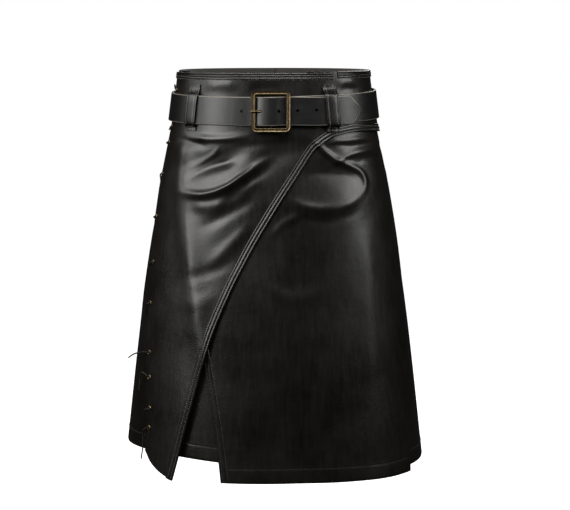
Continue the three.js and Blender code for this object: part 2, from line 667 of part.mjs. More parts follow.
// The frame's section has two rounded ridges with a shallow groove between them.
const FRAME_BAR = [
  { across: 0, out: -0.5 },
  { across: 0.86, out: -0.5 },
  { across: 1, out: 0 },
  { across: 0.78, out: 0.5 },
  { across: 0.5, out: 0.3 },
  { across: 0.2, out: 0.5 },
  { across: 0, out: 0.1 },
];
function buckleFrame() {
  const [w, h, r, steps] = [BUCKLE.width / 2, BUCKLE.height / 2, BUCKLE.corner, 5];
  const sections = range(4).flatMap((k) =>
    range(steps + 1).map((i) => {
      const a = Math.PI * (k / 2 + i / steps / 2);
      const centre = { x: Math.sign(Math.cos(Math.PI * (k / 2 + 0.25))) * (w - r), z: Math.sign(Math.sin(Math.PI * (k / 2 + 0.25))) * (h - r) };
      return FRAME_BAR.map((q) => {
        const d = r - BUCKLE.bar * (1 - q.across);
        const [x, z] = [centre.x + d * Math.cos(a), centre.z + d * Math.sin(a)];
        const out = lerp(FRAME_OUT.left, FRAME_OUT.right, (x / w + 1) / 2) + q.out * BUCKLE.thick;
        return new THREE.Vector3(x, -out, z);
      });
    }),
  );
  const n = FRAME_BAR.length;
  const count = sections.length;
  const faces = range(count).flatMap((k) =>
    range(n).flatMap((i) => {
      const [a, b] = [k * n + i, k * n + ((i + 1) % n)];
      const [c, d] = [((k + 1) % count) * n + i, ((k + 1) % count) * n + ((i + 1) % n)];
      return [a, b, d, a, d, c];
    }),
  );
  const frame = outward(geometryFrom(sections.flat(), faces));
  const end = h - BUCKLE.bar / 2;
  const top = (FRAME_OUT.left + FRAME_OUT.right) / 2;
  const rod = tube([[-top, -end], [-ROD_OUT, -end + 1.5], [-ROD_OUT, end - 1.5], [-top, end]].map(([y, z]) => new THREE.Vector3(0, y, z)), BUCKLE.rod, 8);
  return join([frame, rod]).applyMatrix4(buckleFrameMatrix());
}

// The tongue hooks round the rod, comes out through the strap's hole and rests on the left bar.
const TONGUE = [
  { x: -7, out: 5.6 },
  { x: -11, out: 6 },
  { x: -15.5, out: 8.2 },
  { x: -19.5, out: 10.6 },
  { x: -25, out: 11.5 },
  { x: -31, out: 11.3 },
];
function buckleTongue(radius = 1.4) {
  const hook = range(7).map((i) => {
    const a = rad(-130 + 45 * i);
    const r = BUCKLE.rod + 2;
    return new THREE.Vector3(r * Math.cos(a), -ROD_OUT - r * Math.sin(a), 0);
  });
  const arm = TONGUE.map((p) => new THREE.Vector3(p.x, -p.out, 0));
  return tube([...hook, ...arm], radius, 8).applyMatrix4(buckleFrameMatrix());
}

// A belt loop: a doubled strip sewn down above and below the belt and standing off over it.
function beltLoop({ deg, lap, top, foot }) {
  const over = BELT.lift + BELT.thick + lap * BELT.lap + 1;
  const high = beltMiddle(deg);
  const low = high - lap * BELT_LAP_DROP.most;
  const path = [
    { z: high + LOOP.top, out: top },
    { z: high + LOOP.top - LOOP.patch, out: top },
    { z: high + 24, out: lerp(top, over, 0.5) },
    { z: high + 21, out: over - 0.1 },
    { z: high + 12, out: over + 0.5 },
    { z: low - 12, out: over + 0.5 },
    { z: low - 21, out: over - 0.1 },
    { z: low - 23, out: lerp(foot, over, 0.5) },
    { z: low + LOOP.foot, out: foot },
    { z: low + LOOP.foot - LOOP.patch + 1, out: foot },
  ];
  const cross = [
    { at: -1, h: 0 },
    { at: 1, h: 0 },
    { at: 1, h: 0.8 },
    { at: 0.4, h: 1 },
    { at: -0.4, h: 1 },
    { at: -1, h: 0.8 },
  ];
  const sections = path.map((p) => {
    const flat = formPoint(deg, p.z, 0, false);
    const run = formPoint(deg + 1, p.z, 0, false).sub(formPoint(deg - 1, p.z, 0, false)).normalize();
    const normal = new THREE.Vector3(run.y, -run.x, 0);
    return cross.map((q) =>
      flat.clone().addScaledVector(run, (q.at * LOOP.width) / 2).addScaledVector(normal, p.out + q.h * LOOP.thick),
    );
  });
  return loft(sections, cross.map((q) => new THREE.Vector2((q.at * LOOP.width) / 2, q.h * LOOP.thick)));
}

// ---- the object ------------------------------------------------------------------------------
const kilt = new THREE.Group();
const finish = {
  hide: new THREE.MeshStandardMaterial({ color: COLOUR.hide, roughness: 0.42, metalness: 0 }),
  belt: new THREE.MeshStandardMaterial({ color: COLOUR.belt, roughness: 0.38, metalness: 0 }),
  brass: new THREE.MeshStandardMaterial({ color: COLOUR.brass, roughness: 0.35, metalness: 1 }),
  lace: new THREE.MeshStandardMaterial({ color: COLOUR.lace, roughness: 0.6, metalness: 0 }),
};
function add(name, geometry, material) {
  const mesh = new THREE.Mesh(geometry, material);
  mesh.name = name;
  kilt.add(mesh);
}

const over = overApron();
const under = underApron();
const RIGHT_SEAM = -97; // the wearer's right side seam, behind the lacing
const sideRight = backPanel(
  () => RIGHT_SEAM,
  (z) => edgeDeg("wrap", z),
  10,
);
const backRight = backPanel(
  () => -179.9,
  () => RIGHT_SEAM - 0.16,
  9,
);
const backLeft = backPanel(
  (z) => edgeDeg("side", z) - 360 - degreesFor(SIDE_LAP, 80, z),
  () => -180.1,
  13,
  1.45,
);
const bandFront = waistband(edgeDeg("laced", 0), 44, 14, () => LAYER.over, WAIST_TOP - 2);
const bandLeft = waistband(26, 179.9, 16, () => LAYER.under, WAIST_TOP);
const bandRight = waistband(180.1, 360 - 66, 14, () => LAYER.back, WAIST_TOP);

const inFront = (z) => (z > WAIST_SEAM ? bandFront.geometry : over.geometry);
const behind = (z) => (z > WAIST_SEAM ? bandRight.geometry : sideRight.geometry);
const rows = lacingRows(inFront, behind);
const upper = rows.slice(0, UPPER_ROWS);
const lower = rows.slice(UPPER_ROWS);
const atWaist = (list) => list.filter((r) => r.z > WAIST_SEAM);
const onSkirt = (list) => list.filter((r) => r.z <= WAIST_SEAM);
const crossed = [...upper.slice(0, -1), lower[1]];
const bores = (list) => list.map((r) => drill(r.eye, EYELET.bore));
const holes = (list) => list.map((r) => drill(r.hole, LACE.hole));

add("over_apron", cut(over.geometry, bores(onSkirt(rows))), finish.hide);
add("under_apron", under.geometry, finish.hide);
const laceHoles = [...holes(onSkirt(crossed)), drill(lower.at(-1).deep, LACE.hole)];
add("side_right_panel", cut(sideRight.geometry, laceHoles), finish.hide);
add("back_right_panel", backRight.geometry, finish.hide);
add("back_left_panel", backLeft.geometry, finish.hide);
add("waistband_front", cut(bandFront.geometry, bores(atWaist(rows))), finish.hide);
add("waistband_left", bandLeft.geometry, finish.hide);
add("waistband_right", cut(bandRight.geometry, holes(atWaist(crossed))), finish.hide);
const bare = { front: [0, 99], left: [2, 99], right: [0, -1] }; // the front one covers their ends
for (const [name, piece] of Object.entries({ front: bandFront, left: bandLeft, right: bandRight })) {
  const shown = piece.outer.slice(...bare[name]);
  add("waist_edge_" + name, band(shown.map((c) => c[0]), shown.map((c) => c[1])), finish.hide);
}
const edged = over.outer.filter((c) => c.edged);
add("over_apron_edge", band(edged.map((c) => c.at(-1)), edged.map((c) => c.at(-2))), finish.hide);
const [free, seam] = under.outer.slice(0, 2).map((c) => c.filter((p) => p.z < APRON_STEP.full));
add("under_apron_edge", band(free, seam), finish.hide);

rows.forEach((r, i) => add("eyelet_" + String(i + 1).padStart(2, "0"), eyelet(r.eye), finish.brass));
add("lace_upper", tube(upperLace(upper), LACE.radius, 6), finish.lace);
add("lace_lower", tube(lowerLace(lower), LACE.radius, 6), finish.lace);
add("lace_end_upper", freeEnd(upper.at(-1), "upper"), finish.lace);
add("lace_end_middle", freeEnd(lower[0], "middle"), finish.lace);
add("lace_end_bottom", freeEnd(lower.at(-1), "bottom"), finish.lace);

add("belt", cut(beltStrap(), [...beltHoles(), buckleTongue(1.8)]), finish.belt);
add("buckle_frame", buckleFrame(), finish.brass);
add("buckle_tongue", buckleTongue(), finish.brass);
for (const l of LOOPS) add(l.name, beltLoop(l), finish.hide);

export default kilt;
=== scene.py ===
"""A worn leather wrap kilt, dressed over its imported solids.

Every size is in millimetres in the frame of the solids (+Z up, front towards -Y, +X towards the
wearer's left, origin at the middle of the waist) and is turned into metres when a mesh is made.
Places on the leather are given as degrees round the waist from the front, and a height.
"""

from __future__ import annotations

import logging
import math
from dataclasses import dataclass, field
from enum import Enum
from typing import Callable, Sequence

import bpy
import numpy as np
from mathutils import Euler, Matrix, Vector

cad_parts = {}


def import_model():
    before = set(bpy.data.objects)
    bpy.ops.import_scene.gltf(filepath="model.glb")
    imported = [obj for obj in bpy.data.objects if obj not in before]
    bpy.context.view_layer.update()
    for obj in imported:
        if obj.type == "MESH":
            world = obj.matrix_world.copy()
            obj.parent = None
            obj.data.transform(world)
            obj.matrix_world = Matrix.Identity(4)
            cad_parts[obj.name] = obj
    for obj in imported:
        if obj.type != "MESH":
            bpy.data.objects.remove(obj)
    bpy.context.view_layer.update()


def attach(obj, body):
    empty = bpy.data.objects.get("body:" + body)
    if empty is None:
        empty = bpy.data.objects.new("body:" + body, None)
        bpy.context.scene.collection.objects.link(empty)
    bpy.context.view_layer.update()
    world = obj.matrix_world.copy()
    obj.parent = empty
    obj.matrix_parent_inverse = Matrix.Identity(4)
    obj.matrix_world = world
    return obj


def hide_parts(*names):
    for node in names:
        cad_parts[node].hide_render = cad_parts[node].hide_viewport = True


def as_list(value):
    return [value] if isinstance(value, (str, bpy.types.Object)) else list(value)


LOG = logging.getLogger("kilt")

Array = np.ndarray
Place = tuple[float, float]
Point = tuple[float, float, float]
Edge = Callable[[np.ndarray], np.ndarray]  # degrees at heights

MM = 0.001  # metres in a millimetre

# ---- sizes of the garment ----------------------------------------------------------------------
LEATHER = 1.5  # thickness of the garment leather
WAIST_TOP = 54.0  # top edge of the waistband above the belt's middle
WAIST_SEAM = -12.0  # the panels hang from the waistband here, behind the belt
HEM_FRONT = -537.0
BAND_WIDTH = 12.0  # turned and double-stitched edge of the aprons
TOP_BAND_WIDTH = 10.0
ROUNDNESS = 2.3  # exponent of the waist's superellipse: 2 is an ellipse
BACK, UNDER, OVER = 0.0, 2.6, 5.1  # inner face of each layer, out from the form
MM_PER_DEG = 2.9  # a degree's run on the plane that the drapes are drawn on
RIGHT_SEAM = -97.0
SEAM_RELIEF = -0.8  # the leather turns in at a seam
CENTRE_SEAM = -180.0
BENT_SHARP = 38.0  # degrees past which an edge stays crisp


class Table:
    """Rows of named columns that are read smoothly between the rows."""

    def __init__(self, names: str, *rows: tuple[float, ...]) -> None:
        """Sort the rows by their first column.

        Args:
            names: the columns' names, with the one that is looked up first.
            rows: one tuple of numbers for each row.
        """
        self.names = names.split()
        self.columns = dict(zip(self.names, np.array(sorted(rows), float).T))

    def read(self, name: str, at: Array | float) -> Array:
        """Read a column by a cubic whose slope at a row is that of the line between its neighbours.

        Args:
            name: the column to read.
            at: where, in the first column's unit.

        Returns:
            The column's value at each place, held at the end rows' outside the table.
        """
        x, y = self.columns[self.names[0]], self.columns[name]
        at = np.clip(at, x[0], x[-1])
        row = np.arange(len(x))
        ahead, behind = np.minimum(row + 1, len(x) - 1), np.maximum(row - 1, 0)
        slope = (y[ahead] - y[behind]) / (x[ahead] - x[behind])
        i = np.clip(np.searchsorted(x, at), 1, len(x) - 1)
        h = x[i] - x[i - 1]
        t = (at - x[i - 1]) / h
        return (
            (2 * t**3 - 3 * t**2 + 1) * y[i - 1]
            + (t**3 - 2 * t**2 + t) * h * slope[i - 1]
            + (3 * t**2 - 2 * t**3) * y[i]
            + (t**3 - t**2) * h * slope[i]
        )


FORM = Table(
    "z side front back",
    (60, 138, 99, 103),
    (30, 141.5, 101.5, 106.5),
    (0, 145, 104.5, 110.5),
    (-22, 148, 107, 114),
    (-45, 152.5, 110, 119),
    (-80, 160, 114.5, 127),
    (-120, 168.5, 120, 136.5),
    (-200, 183, 130, 150),
    (-300, 198, 142, 161),
    (-400, 210.5, 152, 169.5),
    (-560, 228.5, 167, 180),
)
EDGES = Table(
    "z laced under side wrap",
    (60, -79, -66, 89, -14),
    (-100, -79, -60, 87, -14),
    (-163, -76.5, -55, 84, -14),
    (-228, -72.5, -49, 80.5, -14),
    (-290, -70, -43.5, 77, -14),
    (-360, -66.5, -37, 73, -14),
    (-440, -62.5, -31, 69.5, -14),
    (-502, -60.8, -27.3, 67, -14),
    (-560, -59, -24.5, 65, -14),
)
DIAGONAL_ROWS = (
    (88, -37.5),
    (72, -34.8),
    (57, -33.3),
    (45.5, -37),
    (39, -42.2),
    (32.2, -52),
    (28, -60.2),
    (19.5, -86.5),
    (14.5, -102.2),
    (6.2, -128.5),
    (-2, -157),
    (-9.5, -185.5),
    (-15.8, -214),
    (-23.8, -257.5),
    (-31.5, -316),
    (-36.2, -373),
    (-40.2, -434.5),
    (-43.8, -498.2),
    (-46, -537),
)
DIAGONAL = Table("deg z", *DIAGONAL_ROWS)
DIAGONAL_BY_HEIGHT = Table("z deg", *((z, deg) for deg, z in DIAGONAL_ROWS[3:]))
APRON_HEM = Table("deg z", (-64, -498), (-60.8, -502), (-57.5, -515), (-52.5, -527), (-46, -537))
BACK_HEM = Table(
    "deg z", (-14, -511), (-60, -502), (-95, -507), (-180, -519), (-265, -528), (-300, -529)
)
CORNER: Place = DIAGONAL_ROWS[-1]

# The largest drapes, as in the solids: middle, turn up from level in degrees, half length, half
# width, rise (a trough under 0) and sag.
FOLDS = (
    (-28, -97, 24, 68, 17, 3.6, 0.0016),
    (-36, -72, 12, 44, 15, -3.0, 0.001),
    (4, -62, 8, 55, 16, -2.6, 0),
    (40, -92, 0, 42, 17, -3.4, 0),
    (36, -142, 8, 58, 20, 3.0, 0.0022),
    (-122, -96, -14, 60, 20, 3.0, 0.001),
    (128, -104, 16, 66, 22, 3.2, 0.001),
    (176, -70, 3, 70, 20, -3.0, 0),
)
FLUTES = ((-158, 13, 5), (-112, 11, 4), (122, 12, 5), (163, 12, 5.5), (52, 11, 3.5), (14, 12, -3))
FLUTES_FROM = -210.0


@dataclass(frozen=True)
class Crease:
    """A soft ridge, or a trough where rise is under 0, drawn on the leather.

    Attributes:
        route: places that it runs through, as degrees and heights.
        width: half width in millimetres.
        rise: height of its crest in millimetres, which tapers off to both ends.
    """

    route: tuple[Place, ...]
    width: float
    rise: float

    def swell(self, deg: Array, z: Array) -> Array:
        """Height of the crease: rise times a bell of the distance to its line, less at both ends.

        Args:
            deg: degrees round the waist.
            z: heights.

        Returns:
            The height at each place, 0 away from the crease.
        """
        line = spline(np.array(self.route), 6) * (MM_PER_DEG, 1)
        s = wrapped(deg - self.route[0][0]) * MM_PER_DEG + line[0, 0]
        reach = 3 * self.width
        near = (s > line[:, 0].min() - reach) & (s < line[:, 0].max() + reach)
        near &= (z > line[:, 1].min() - reach) & (z < line[:, 1].max() + reach)
        out = np.zeros(near.shape)
        if not near.any():
            return out
        s, z = s[near], z[near]
        best = np.zeros(len(s))
        count = len(line) - 1
        for k, (a, b) in enumerate(zip(line[:-1], line[1:])):
            run = b - a
            t = np.clip(((s - a[0]) * run[0] + (z - a[1]) * run[1]) / (run @ run), 0, 1)
            gap = (s - a[0] - t * run[0]) ** 2 + (z - a[1] - t * run[1]) ** 2
            way = (k + t) / count
            taper = smooth(way / 0.3) * smooth((1 - way) / 0.3)
            np.maximum(best, taper * np.exp(-gap / self.width**2), out=best)
        out[near] = self.rise * best
        return out


# Creases where the hips and the lap pull the leather, front first and then the hidden sides.
CREASES = (
    Crease(((-64.75, -42), (-50, -42), (-38.25, -42), (-26.75, -40), (-14.25, -37)), 5, 1.6),
    Crease(((-70.25, -46), (-59.25, -47), (-50.75, -50), (-43, -54)), 5.2, -0.9),
    Crease(((-33, -54), (-21, -52), (-7, -49), (9.25, -47), (24.5, -46)), 6.5, -0.7),
    Crease(((-36.25, -49), (-40.25, -65), (-47.75, -76), (-53.5, -84), (-58.5, -93)), 4.8, 0.9),
    Crease(((-62, -88), (-49.75, -82), (-38.75, -71)), 12, -1),
    Crease(((-56.75, -106), (-47.75, -92), (-40, -83), (-32.25, -77), (-23.25, -71)), 6, -1.8),
    Crease(
        ((-59.25, -117), (-51.5, -120), (-44.25, -120), (-37.5, -116),
         (-29.5, -107), (-20.5, -92), (-12.25, -80)),
        2.6,
        0.9,
    ),
    Crease(((-52, -136), (-43.25, -139), (-35.75, -137), (-28.5, -126)), 9, 1.8),
    Crease(
        ((-62, -119), (-52.5, -122), (-45.25, -123), (-37.5, -119),
         (-29.5, -110), (-20.5, -95), (-9.5, -77), (6.25, -60)),
        6.2,
        3.2,
    ),
    Crease(((-32.5, -135), (-24.5, -119), (-16, -103), (-6.75, -89), (4.75, -72)), 8, -1.5),
    Crease(((-29.25, -125), (-22, -116), (-14.5, -107), (-5.25, -97)), 7, 0.9),
    Crease(((-45.25, -172), (-37.25, -161), (-29, -149), (-19.75, -136), (-9, -120)), 10, -1.6),
    Crease(((-38, -227), (-29.5, -203), (-22, -183), (-14.25, -163)), 10, 1.5),
    Crease(((-51, -247), (-41.25, -238), (-32.5, -228), (-21.25, -211)), 9, -1),
    Crease(((-49, -283), (-40, -276), (-31.25, -265)), 11, 0.9),
    Crease(((-46.25, -340), (-41.25, -303), (-37.25, -270)), 12, 0.8),
    Crease(((31.25, -52), (42.25, -46), (49, -45), (58, -44), (73.25, -43)), 4.2, 1.5),
    Crease(((44, -51), (51.75, -54), (60.25, -53), (75, -51)), 3.6, -0.8),
    Crease(
        ((23, -35), (30, -48), (36, -62), (42.5, -74), (50.25, -82),
         (56.25, -91), (58.25, -105), (56.25, -119), (51, -131)),
        5,
        2.5,
    ),
    Crease(
        ((57, -112), (52, -127), (45, -136), (36.75, -141), (27, -141), (17.25, -135), (7, -123)),
        6,
        1.4,
    ),
    Crease(((35.5, -84), (43, -74), (51, -66), (59.5, -62), (76.75, -59)), 4.4, 1.9),
    Crease(((51.75, -78), (58.5, -75), (66.75, -73), (82, -73)), 4, -0.8),
    Crease(((16.75, -95), (29.5, -92), (40, -94), (49, -97), (54.25, -106)), 5, -0.6),
    Crease(
        ((7, -141), (17, -153), (27.75, -159), (38.5, -158), (48.5, -150), (56.5, -135)),
        7,
        -0.9,
    ),
    Crease(((-3, -186), (4.25, -167), (10.75, -157), (21.5, -149)), 6, 1.3),
    Crease(((-14.25, -234), (-2, -257), (9.75, -269), (22.25, -266), (34.5, -247)), 11, 1.2),
    Crease(((40, -268), (34, -345), (29, -417), (23.75, -481)), 15, 1.2),
    Crease(((56, -150), (54.25, -219), (52.25, -291), (50.25, -364), (46.75, -457)), 13, 1.2),
    Crease(((17.25, -180), (13.5, -229), (9, -277)), 16, -0.9),
    Crease(((-50, 33), (-38, 36), (-27, 34)), 8, 1.3),
    Crease(((-22, 26), (-6, 30), (10, 27)), 7, -0.9),
    Crease(((46, 36), (54, 39), (62, 36)), 7, 1.0),
    Crease(((48, 27), (56, 29), (66, 27)), 5, -1.0),
    Crease(((-92, -58), (-106, -66), (-121, -64), (-134, -56)), 6, -1.7),
    Crease(((-96, -108), (-108, -92), (-122, -84), (-138, -86)), 6, 2.0),
    Crease(((-100, -128), (-114, -120), (-128, -108), (-144, -104)), 7, -1.8),
    Crease(((-104, -150), (-120, -140), (-136, -128)), 6, 1.4),
    Crease(((-150, -62), (-164, -70), (-178, -72)), 6, -1.5),
    Crease(((-152, -96), (-166, -104), (-179, -100)), 7, 1.6),
    Crease(((-132, -200), (-134, -300), (-136, -410)), 15, 1.4),
    Crease(((80, -56), (96, -64), (112, -60), (126, -52)), 6, -1.8),
    Crease(((84, -104), (98, -92), (114, -86), (130, -90)), 6, 2.1),
    Crease(((92, -124), (108, -118), (124, -112), (140, -116)), 7, -1.9),
    Crease(((96, -152), (112, -142), (130, -136)), 6, 1.3),
    Crease(((146, -58), (160, -66), (174, -64)), 6, -1.6),
    Crease(((148, -90), (160, -98), (176, -94)), 6, 1.5),
    Crease(((142, -210), (144, -310), (146, -420)), 15, 1.5),
    Crease(((-80, -140), (-84, -230), (-88, -330)), 13, 1.2),
    Crease(((120, 30), (136, 34), (150, 30)), 8, 1.0),
    Crease(((-120, 32), (-140, 28), (-160, 31)), 8, 0.9),
)

# Rows of the lacing: the eyelet's height, and how far below it the lace goes in and arches.
LACING = Table(
    "z drop arch",
    (26, 3, 8),
    (-28, 3, -4),
    (-51, 5, 0),
    (-97.5, 15, 0),
    (-160, 6, 0),
    (-227, 8, 0),
    (-286.5, 20, 0),
    (-358, 3, 0),
    (-394, 3, 0),
    (-439, 6, 0),
    (-467, 3, 0),
)
UPPER_ROWS = 8
EYELET_INSET, EYELET_OUTER, EYELET_BORE, EYELET_RISE, EYELET_SEAT = 7.0, 3.8, 2.1, 0.9, 0.35
EYELET_TURNS = 28  # places round an eyelet
LACE_RADIUS, LACE_REACH, LACE_SIDES = 1.05, 8.0, 12
# The laces' free ends, from the eyelet of a row: past the edge, down and out from the leather.
FREE_ENDS = {
    "upper": ((4, 1, 2.4), (15, 3.5, 4), (29, 8, 6), (42, 15, 7)),
    "middle": (
        (0.5, -4, 2.6),
        (6.5, -5.6, 3),
        (12.2, -3, 2.8),
        (15, 3.2, 2.6),
        (15.8, 13, 2.6),
        (17, 23, 3),
    ),
    "bottom": ((3.5, 5, 2.6), (6, 14, 1.6), (7, 30, 1.4), (11, 50, 2)),
}

BELT_WIDTH, BELT_THICK, BELT_LIFT, BELT_LAP, LAP_DROP = 41.0, 3.0, 7.5, 3.5, 2.2
BELT_ROOT, BELT_TIP_LENGTH, BELT_HOLE, HOLE_PITCH = 53.0, 18.2, 2.2, 25.6
HOLES, HOLE_FROM_ROD = 5, -14.5  # the second hole, which the tongue is in, is off the rod by this
TIP_BEVEL = 1.5  # width of the rounded edge along the point of the strap, to its half width
LAP_FROM, LAP_RAMP = 368.0, 30.0  # the lapped strap sinks from here on, over so many degrees
BELT_RISE = Table(
    "x rise",
    (-75, 0),
    (-46, 0.2),
    (-33, 0.8),
    (-26, 2.4),
    (-22, 4.9),
    (-16, 7.0),
    (-9, 8.4),
    (-3.6, 8.8),
    (2, 8.3),
    (11, 5.4),
    (19, 3.5),
    (26, 3.5),
)
BUCKLE_X, BUCKLE_Z, BUCKLE_WIDTH, BUCKLE_HEIGHT = -3.6, -3.0, 57.5, 60.5
BUCKLE_BAR, BUCKLE_THICK, BUCKLE_CORNER, ROD_RADIUS, ROD_OUT = 6.9, 4.4, 8.0, 1.7, 5.2
FRAME_OUT_LEFT, FRAME_OUT_RIGHT = 7.4, 9.4
FOLD_END = 9.5
# Section of the frame's bar, two ridges and a groove: shares of its width and of its thickness.
BUCKLE_SECTION = (
    *((0, -0.5), (0.5, -0.5), (0.88, -0.48), (1, -0.05)),
    *((0.8, 0.48), (0.5, 0.3), (0.22, 0.5), (0, 0.1)),
)
TONGUE = ((-7, 5.6), (-11, 6), (-15.5, 8.2), (-19.5, 10.6), (-24, 11.7), (-28, 11.9))
TONGUE_RADIUS, TONGUE_BORE = 1.7, 1.8
LOOP_WIDTH, LOOP_THICK, LOOP_TOP, LOOP_FOOT, LOOP_PATCH = 20.5, 2.1, 36.0, -24.5, 6.5


@dataclass(frozen=True)
class LoopPlace:
    """Where a belt loop is sewn.

    Attributes:
        node: the solid that it stands for.
        deg: its angle.
        lap: how many laps of strap it holds over the first.
        top: how far out the leather is that its upper end is sewn to.
        foot: the same for its lower end.
    """

    node: str
    deg: float
    lap: float
    top: float
    foot: float


LOOPS = (
    LoopPlace("belt_loop_front_right", -57, 0, 6.9, 7),
    LoopPlace("belt_loop_front_left", 41, 1, 6.9, 8.8),
    LoopPlace("belt_loop_back_left", 112, 0, 4.4, 1.9),
    LoopPlace("belt_loop_back_middle", 180, 0, 4.4, 1.9),
    LoopPlace("belt_loop_back_right", 246, 0, 1.9, 1.9),
)


# ---- plane and space curves --------------------------------------------------------------------
def wrapped(deg: Array | float) -> Array:
    """Bring an angle to between -180 and 180 degrees."""
    return np.mod(np.asarray(deg) + 180, 360) - 180


def smooth(t: Array | float) -> Array:
    """Step softly from 0 to 1: 3t squared less 2t cubed, held outside 0 to 1."""
    t = np.clip(t, 0, 1)
    return t * t * (3 - 2 * t)


def spline(points: Array, steps: int, closed: bool = False) -> Array:
    """Run a centripetal cubic through points (Catmull-Rom), steps samples to a span.

    Args:
        points: rows of coordinates.
        steps: samples in each span.
        closed: whether it comes back to its first point.

    Returns:
        The samples, with the last point too where it is open.
    """
    points = np.asarray(points, float)
    if closed:
        held = np.vstack([points[-1], points, points[:2]])
    else:
        held = np.vstack([2 * points[0] - points[1], points, 2 * points[-1] - points[-2]])
    p = [held[k : len(held) - 3 + k][:, None] for k in range(4)]
    knots = [np.zeros((len(p[0]), 1, 1))]
    for a, b in zip(p[:-1], p[1:]):
        gap = np.maximum(np.linalg.norm(b - a, axis=2, keepdims=True), 1e-9)
        knots.append(knots[-1] + gap**0.5)
    u = knots[1] + (knots[2] - knots[1]) * (np.arange(steps) / steps)[None, :, None]

    def between(a: Array, b: Array, i: int, j: int) -> Array:
        """Mix two rows of points by where u lies between two knots."""
        share = (u - knots[i]) / (knots[j] - knots[i])
        return a + (b - a) * share

    first = [between(p[k], p[k + 1], k, k + 1) for k in range(3)]
    second = [between(first[k], first[k + 1], k, k + 2) for k in range(2)]
    out = between(second[0], second[1], 1, 2).reshape(-1, points.shape[1])
    return out if closed else np.vstack([out, points[-1]])


def rounded(points: Array, radius: float, steps: int = 6) -> Array:
    """Round a line's corners: each becomes a quadratic arc that starts radius before it.

    Args:
        points: the line's corners.
        radius: how far from a corner its arc starts, at most 0.45 of the span.
        steps: samples in an arc.

    Returns:
        The line with its ends kept.
    """
    points = np.asarray(points, float)
    before, corner, after = points[:-2], points[1:-1], points[2:]

    def toward(end: Array) -> Array:
        """Where the arcs start or end on the way to other corners."""
        run = end - corner
        length = np.linalg.norm(run, axis=1, keepdims=True)
        return corner + run / length * np.minimum(radius, 0.45 * length)

    t = np.linspace(0, 1, steps)[None, :, None]
    a, b, c = toward(before)[:, None], corner[:, None], toward(after)[:, None]
    arcs = (1 - t) ** 2 * a + 2 * t * (1 - t) * b + t**2 * c
    return np.vstack([points[0], arcs.reshape(-1, 3), points[-1]])


def lengths(line: Array) -> Array:
    """Distance along a line to each of its points."""
    return np.r_[0, np.cumsum(np.linalg.norm(np.diff(line, axis=0), axis=1))]


def along(line: Array, values: Array, at: Array) -> Array:
    """Read values along a line.

    Args:
        line: its points.
        values: a row for each of them.
        at: distances along the line.

    Returns:
        A row for each distance, mixed evenly between the points.
    """
    reach = lengths(line)
    return np.stack([np.interp(at, reach, column) for column in values.T], axis=-1)


def unit(v: Array) -> Array:
    """Scale vectors in the last axis to length 1."""
    return v / np.maximum(np.linalg.norm(v, axis=-1, keepdims=True), 1e-12)


def runs(line: Array) -> Array:
    """Unit tangents of a line, from each point's neighbours."""
    return unit(np.gradient(line, axis=0))


# ---- the garment's form ------------------------------------------------------------------------
def swell(deg: Array, z: Array) -> Array:
    """How far the leather swells or dips.

    A drape is a bell across its line, which sags by a parabola, times a bell along it. A flute is
    an upright bell that grows towards the hem. The creases are added to them.

    Args:
        deg: degrees round the waist.
        z: heights.

    Returns:
        Millimetres out of the form.
    """
    deg, z = np.broadcast_arrays(deg, z)
    out = np.zeros(deg.shape)
    for at, height, turn, reach, width, rise, bend in FOLDS:
        s, h = wrapped(deg - at) * MM_PER_DEG, z - height
        c, n = math.cos(math.radians(turn)), math.sin(math.radians(turn))
        run = s * c + h * n
        out += rise * np.exp(-(((h * c - s * n - bend * run**2) / width) ** 2) - (run / reach) ** 2)
    down = smooth((FLUTES_FROM - z) / (FLUTES_FROM - HEM_FRONT))
    for at, width, rise in FLUTES:
        out += rise * down * np.exp(-((wrapped(deg - at) / width) ** 2))
    for crease in CREASES:
        out += crease.swell(deg, z)
    return out


def place(deg: Array | float, z: Array | float, out: Array | float, creased: bool = True) -> Array:
    """Point of the form at an angle and height, moved out level.

    The form is a superellipse |x / side|^n + |y / depth|^n = 1 at each height, with its own depth
    before and behind, and a point moves along the level normal of that curve.

    Args:
        deg: degrees round the waist.
        z: heights.
        out: how far the point moves out.
        creased: whether the swell of the leather is added.

    Returns:
        Points in millimetres, in the last axis.
    """
    deg, z, out = np.broadcast_arrays(*(np.asarray(v, float) for v in (deg, z, out)))
    s, c = np.sin(np.radians(deg)), np.cos(np.radians(deg))
    side = FORM.read("side", z)
    depth = np.where(c > 0, FORM.read("front", z), FORM.read("back", z))
    r = ((np.abs(c) / depth) ** ROUNDNESS + (np.abs(s) / side) ** ROUNDNESS) ** (-1 / ROUNDNESS)
    nx = np.sign(s) * np.abs(r * s / side) ** (ROUNDNESS - 1) / side
    ny = -np.sign(c) * np.abs(r * c / depth) ** (ROUNDNESS - 1) / depth
    far = (out + (swell(deg, z) if creased else 0)) / np.hypot(nx, ny)
    return np.stack([r * s + nx * far, -r * c + ny * far, z], axis=-1)


def degrees_for(mm: Array | float, deg: Array | float, z: Array | float) -> Array:
    """Turn a level run into degrees.

    Args:
        mm: length of the run.
        deg: where it is, in degrees.
        z: its height.

    Returns:
        Degrees that make it there.
    """
    step = place(np.asarray(deg) + 0.5, z, 0, False) - place(np.asarray(deg) - 0.5, z, 0, False)
    return mm / np.linalg.norm(step, axis=-1)


